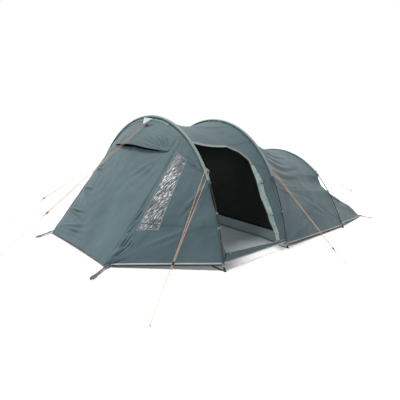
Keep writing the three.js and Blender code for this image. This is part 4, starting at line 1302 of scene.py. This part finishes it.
def add_corner_loops():
    """Webbing folded back on itself round an eye, twisted a little, at each corner of the cloth."""
    ends = {"front": (FRONT_CORNER, (0.714, -1.017), (-0.511, -0.987)),
            "rear": (REAR_CORNER, (1.334, 3.861), (-1.334, 3.861))}
    for place, (corner, *loops) in ends.items():
        for word, side, end in zip(("right", "left"), (1, -1), loops):
            start = np.array((side * corner[0], corner[1], 0.014))
            stop = np.array((*end, 0.006))
            along = unit(stop - start)
            length = np.linalg.norm(stop - start)
            aside = unit(np.cross((0, 0, 1), along))
            parts = np.array([0.0, 0.25, 0.5, 0.68, 0.8, 0.9, 0.97, 1.0])
            widths = np.array([0.002, 0.002, 0.003, 0.005, 0.011, 0.012, 0.009, 0.0])
            one = [start + along * length * p + aside * w + (0, 0, 0.003) for p, w in zip(parts, widths)]
            two = [start + along * length * p - aside * w for p, w in zip(parts[:-1], widths[:-1])][::-1]
            path = smooth_path(np.array(one + two), 8)
            obj = band(f"{place}_{word}_peg_loop", path, np.cross(along, aside) * 0.35 + aside * 0.5
                       + (0, 0, 0.8), 0.014, 0.0018, loop_webbing, "webbing")
            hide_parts(f"{place}_{word}_corner_loop")
            square = np.array([start - along * 0.035, start - along * 0.01, start + along * 0.02])
            band(f"{place}_{word}_loop_patch", square + (0, 0, 0.006), (0, -0.4, 1), 0.03, 0.003, seam_cloth,
                 "webbing")


def add_guy_tabs():
    """A pale triangle of cloth at each guyline's top, sewn to the sleeve."""
    left, right, tip = np.array([(-0.022, -0.030, 1.324), (0.128, -0.030, 1.318), (-0.016, -0.052, 1.252)])
    part, over = np.meshgrid(np.linspace(0, 0.92, 8), np.linspace(0, 1, 9), indexing="ij")
    top = left + (right - left) * over[..., None]
    outer = top + (tip - top) * part[..., None]
    inner = outer + np.array((0, 0.0018, 0))
    closed_sheet("front_centre_guy_tab", outer, inner, pale_webbing, "trim")
    for name, (tab, peg, _, spread) in GUYS.items():
        if name == "front_centre":
            continue
        hook = np.array((*peg, PEG_STAND))
        down = unit(hook - tab)
        spread = unit(np.array(spread, float) - down * (np.array(spread) @ down))
        root = tab - down * 0.010
        size = 0.026
        rows = []
        for part in np.linspace(0, 1, 8):
            half = size * (1 - 0.72 * part)
            centre = root + down * (size * part - 0.012)
            rows.append([centre + spread * half * k for k in np.linspace(-1, 1, 9)])
        outer = np.array(rows)
        normal = unit(np.cross(spread, down))
        outer = outer + normal * (0.002 * np.sin(np.linspace(0, np.pi, 9)))[None, :, None]
        closed_sheet(f"{name}_guy_tab", outer, outer - normal * 0.0016, fabric_pale, "trim")


add_tapes()
add_corner_loops()
add_guy_tabs()


# ---------------------------------------------------------------- floor and light

def add_stage():
    mesh = bpy.data.meshes.new("floor")
    size, drop = 40, -0.0006
    mesh.from_pydata([(-size, -size, drop), (size, -size, drop), (size, size, drop), (-size, size, drop)], [],
                     [(0, 1, 2, 3)])
    floor = bpy.data.objects.new("floor", mesh)
    bpy.context.scene.collection.objects.link(floor)
    s = Shader("floor", 0.9, specular=0.1)
    s.bsdf.inputs["Base Color"].default_value = (0.93, 0.93, 0.93, 1)
    mesh.materials.append(s.material)

    # A white studio: brightest behind the tent, dimmer on the other side.
    world = bpy.data.worlds.new("studio")
    world.use_nodes = True
    nodes, links = world.node_tree.nodes, world.node_tree.links
    place = nodes.new("ShaderNodeTexCoord")
    toward = nodes.new("ShaderNodeVectorMath")
    toward.operation = "DOT_PRODUCT"
    toward.inputs[1].default_value = (-0.69, 0.72, 0)
    ramp = nodes.new("ShaderNodeValToRGB")
    ramp.color_ramp.elements[0].position = 0.05
    ramp.color_ramp.elements[0].color = (0.38, 0.38, 0.38, 1)
    ramp.color_ramp.elements[1].position = 0.55
    ramp.color_ramp.elements[1].color = (1, 1, 1, 1)
    links.new(place.outputs["Generated"], toward.inputs[0])
    links.new(toward.outputs["Value"], ramp.inputs["Fac"])
    links.new(ramp.outputs["Color"], nodes["Background"].inputs["Color"])
    bpy.context.scene.world = world

    def lamp(name, kind, place, target, power, **sizes):
        light = bpy.data.lights.new(name, kind)
        light.energy = power
        for key, value in sizes.items():
            setattr(light, key, value)
        obj = bpy.data.objects.new(name, light)
        obj.location = place
        obj.rotation_euler = (Vector(target) - Vector(place)).to_track_quat("-Z", "Y").to_euler()
        bpy.context.scene.collection.objects.link(obj)

    lamp("key", "SUN", (-3.0, -3.5, 9.0), (0, 0, 0), 2.9, angle=math.radians(20), color=(1, 0.97, 0.93))
    # Cloth lets some daylight through: this stands for what falls into the porch.
    lamp("porch_glow", "AREA", (0, 0.55 - ORIGIN, 1.08), (0, 0.55 - ORIGIN, 0), 3.6, size=0.5)
    bpy.context.scene.view_settings.view_transform = "Standard"


add_stage()
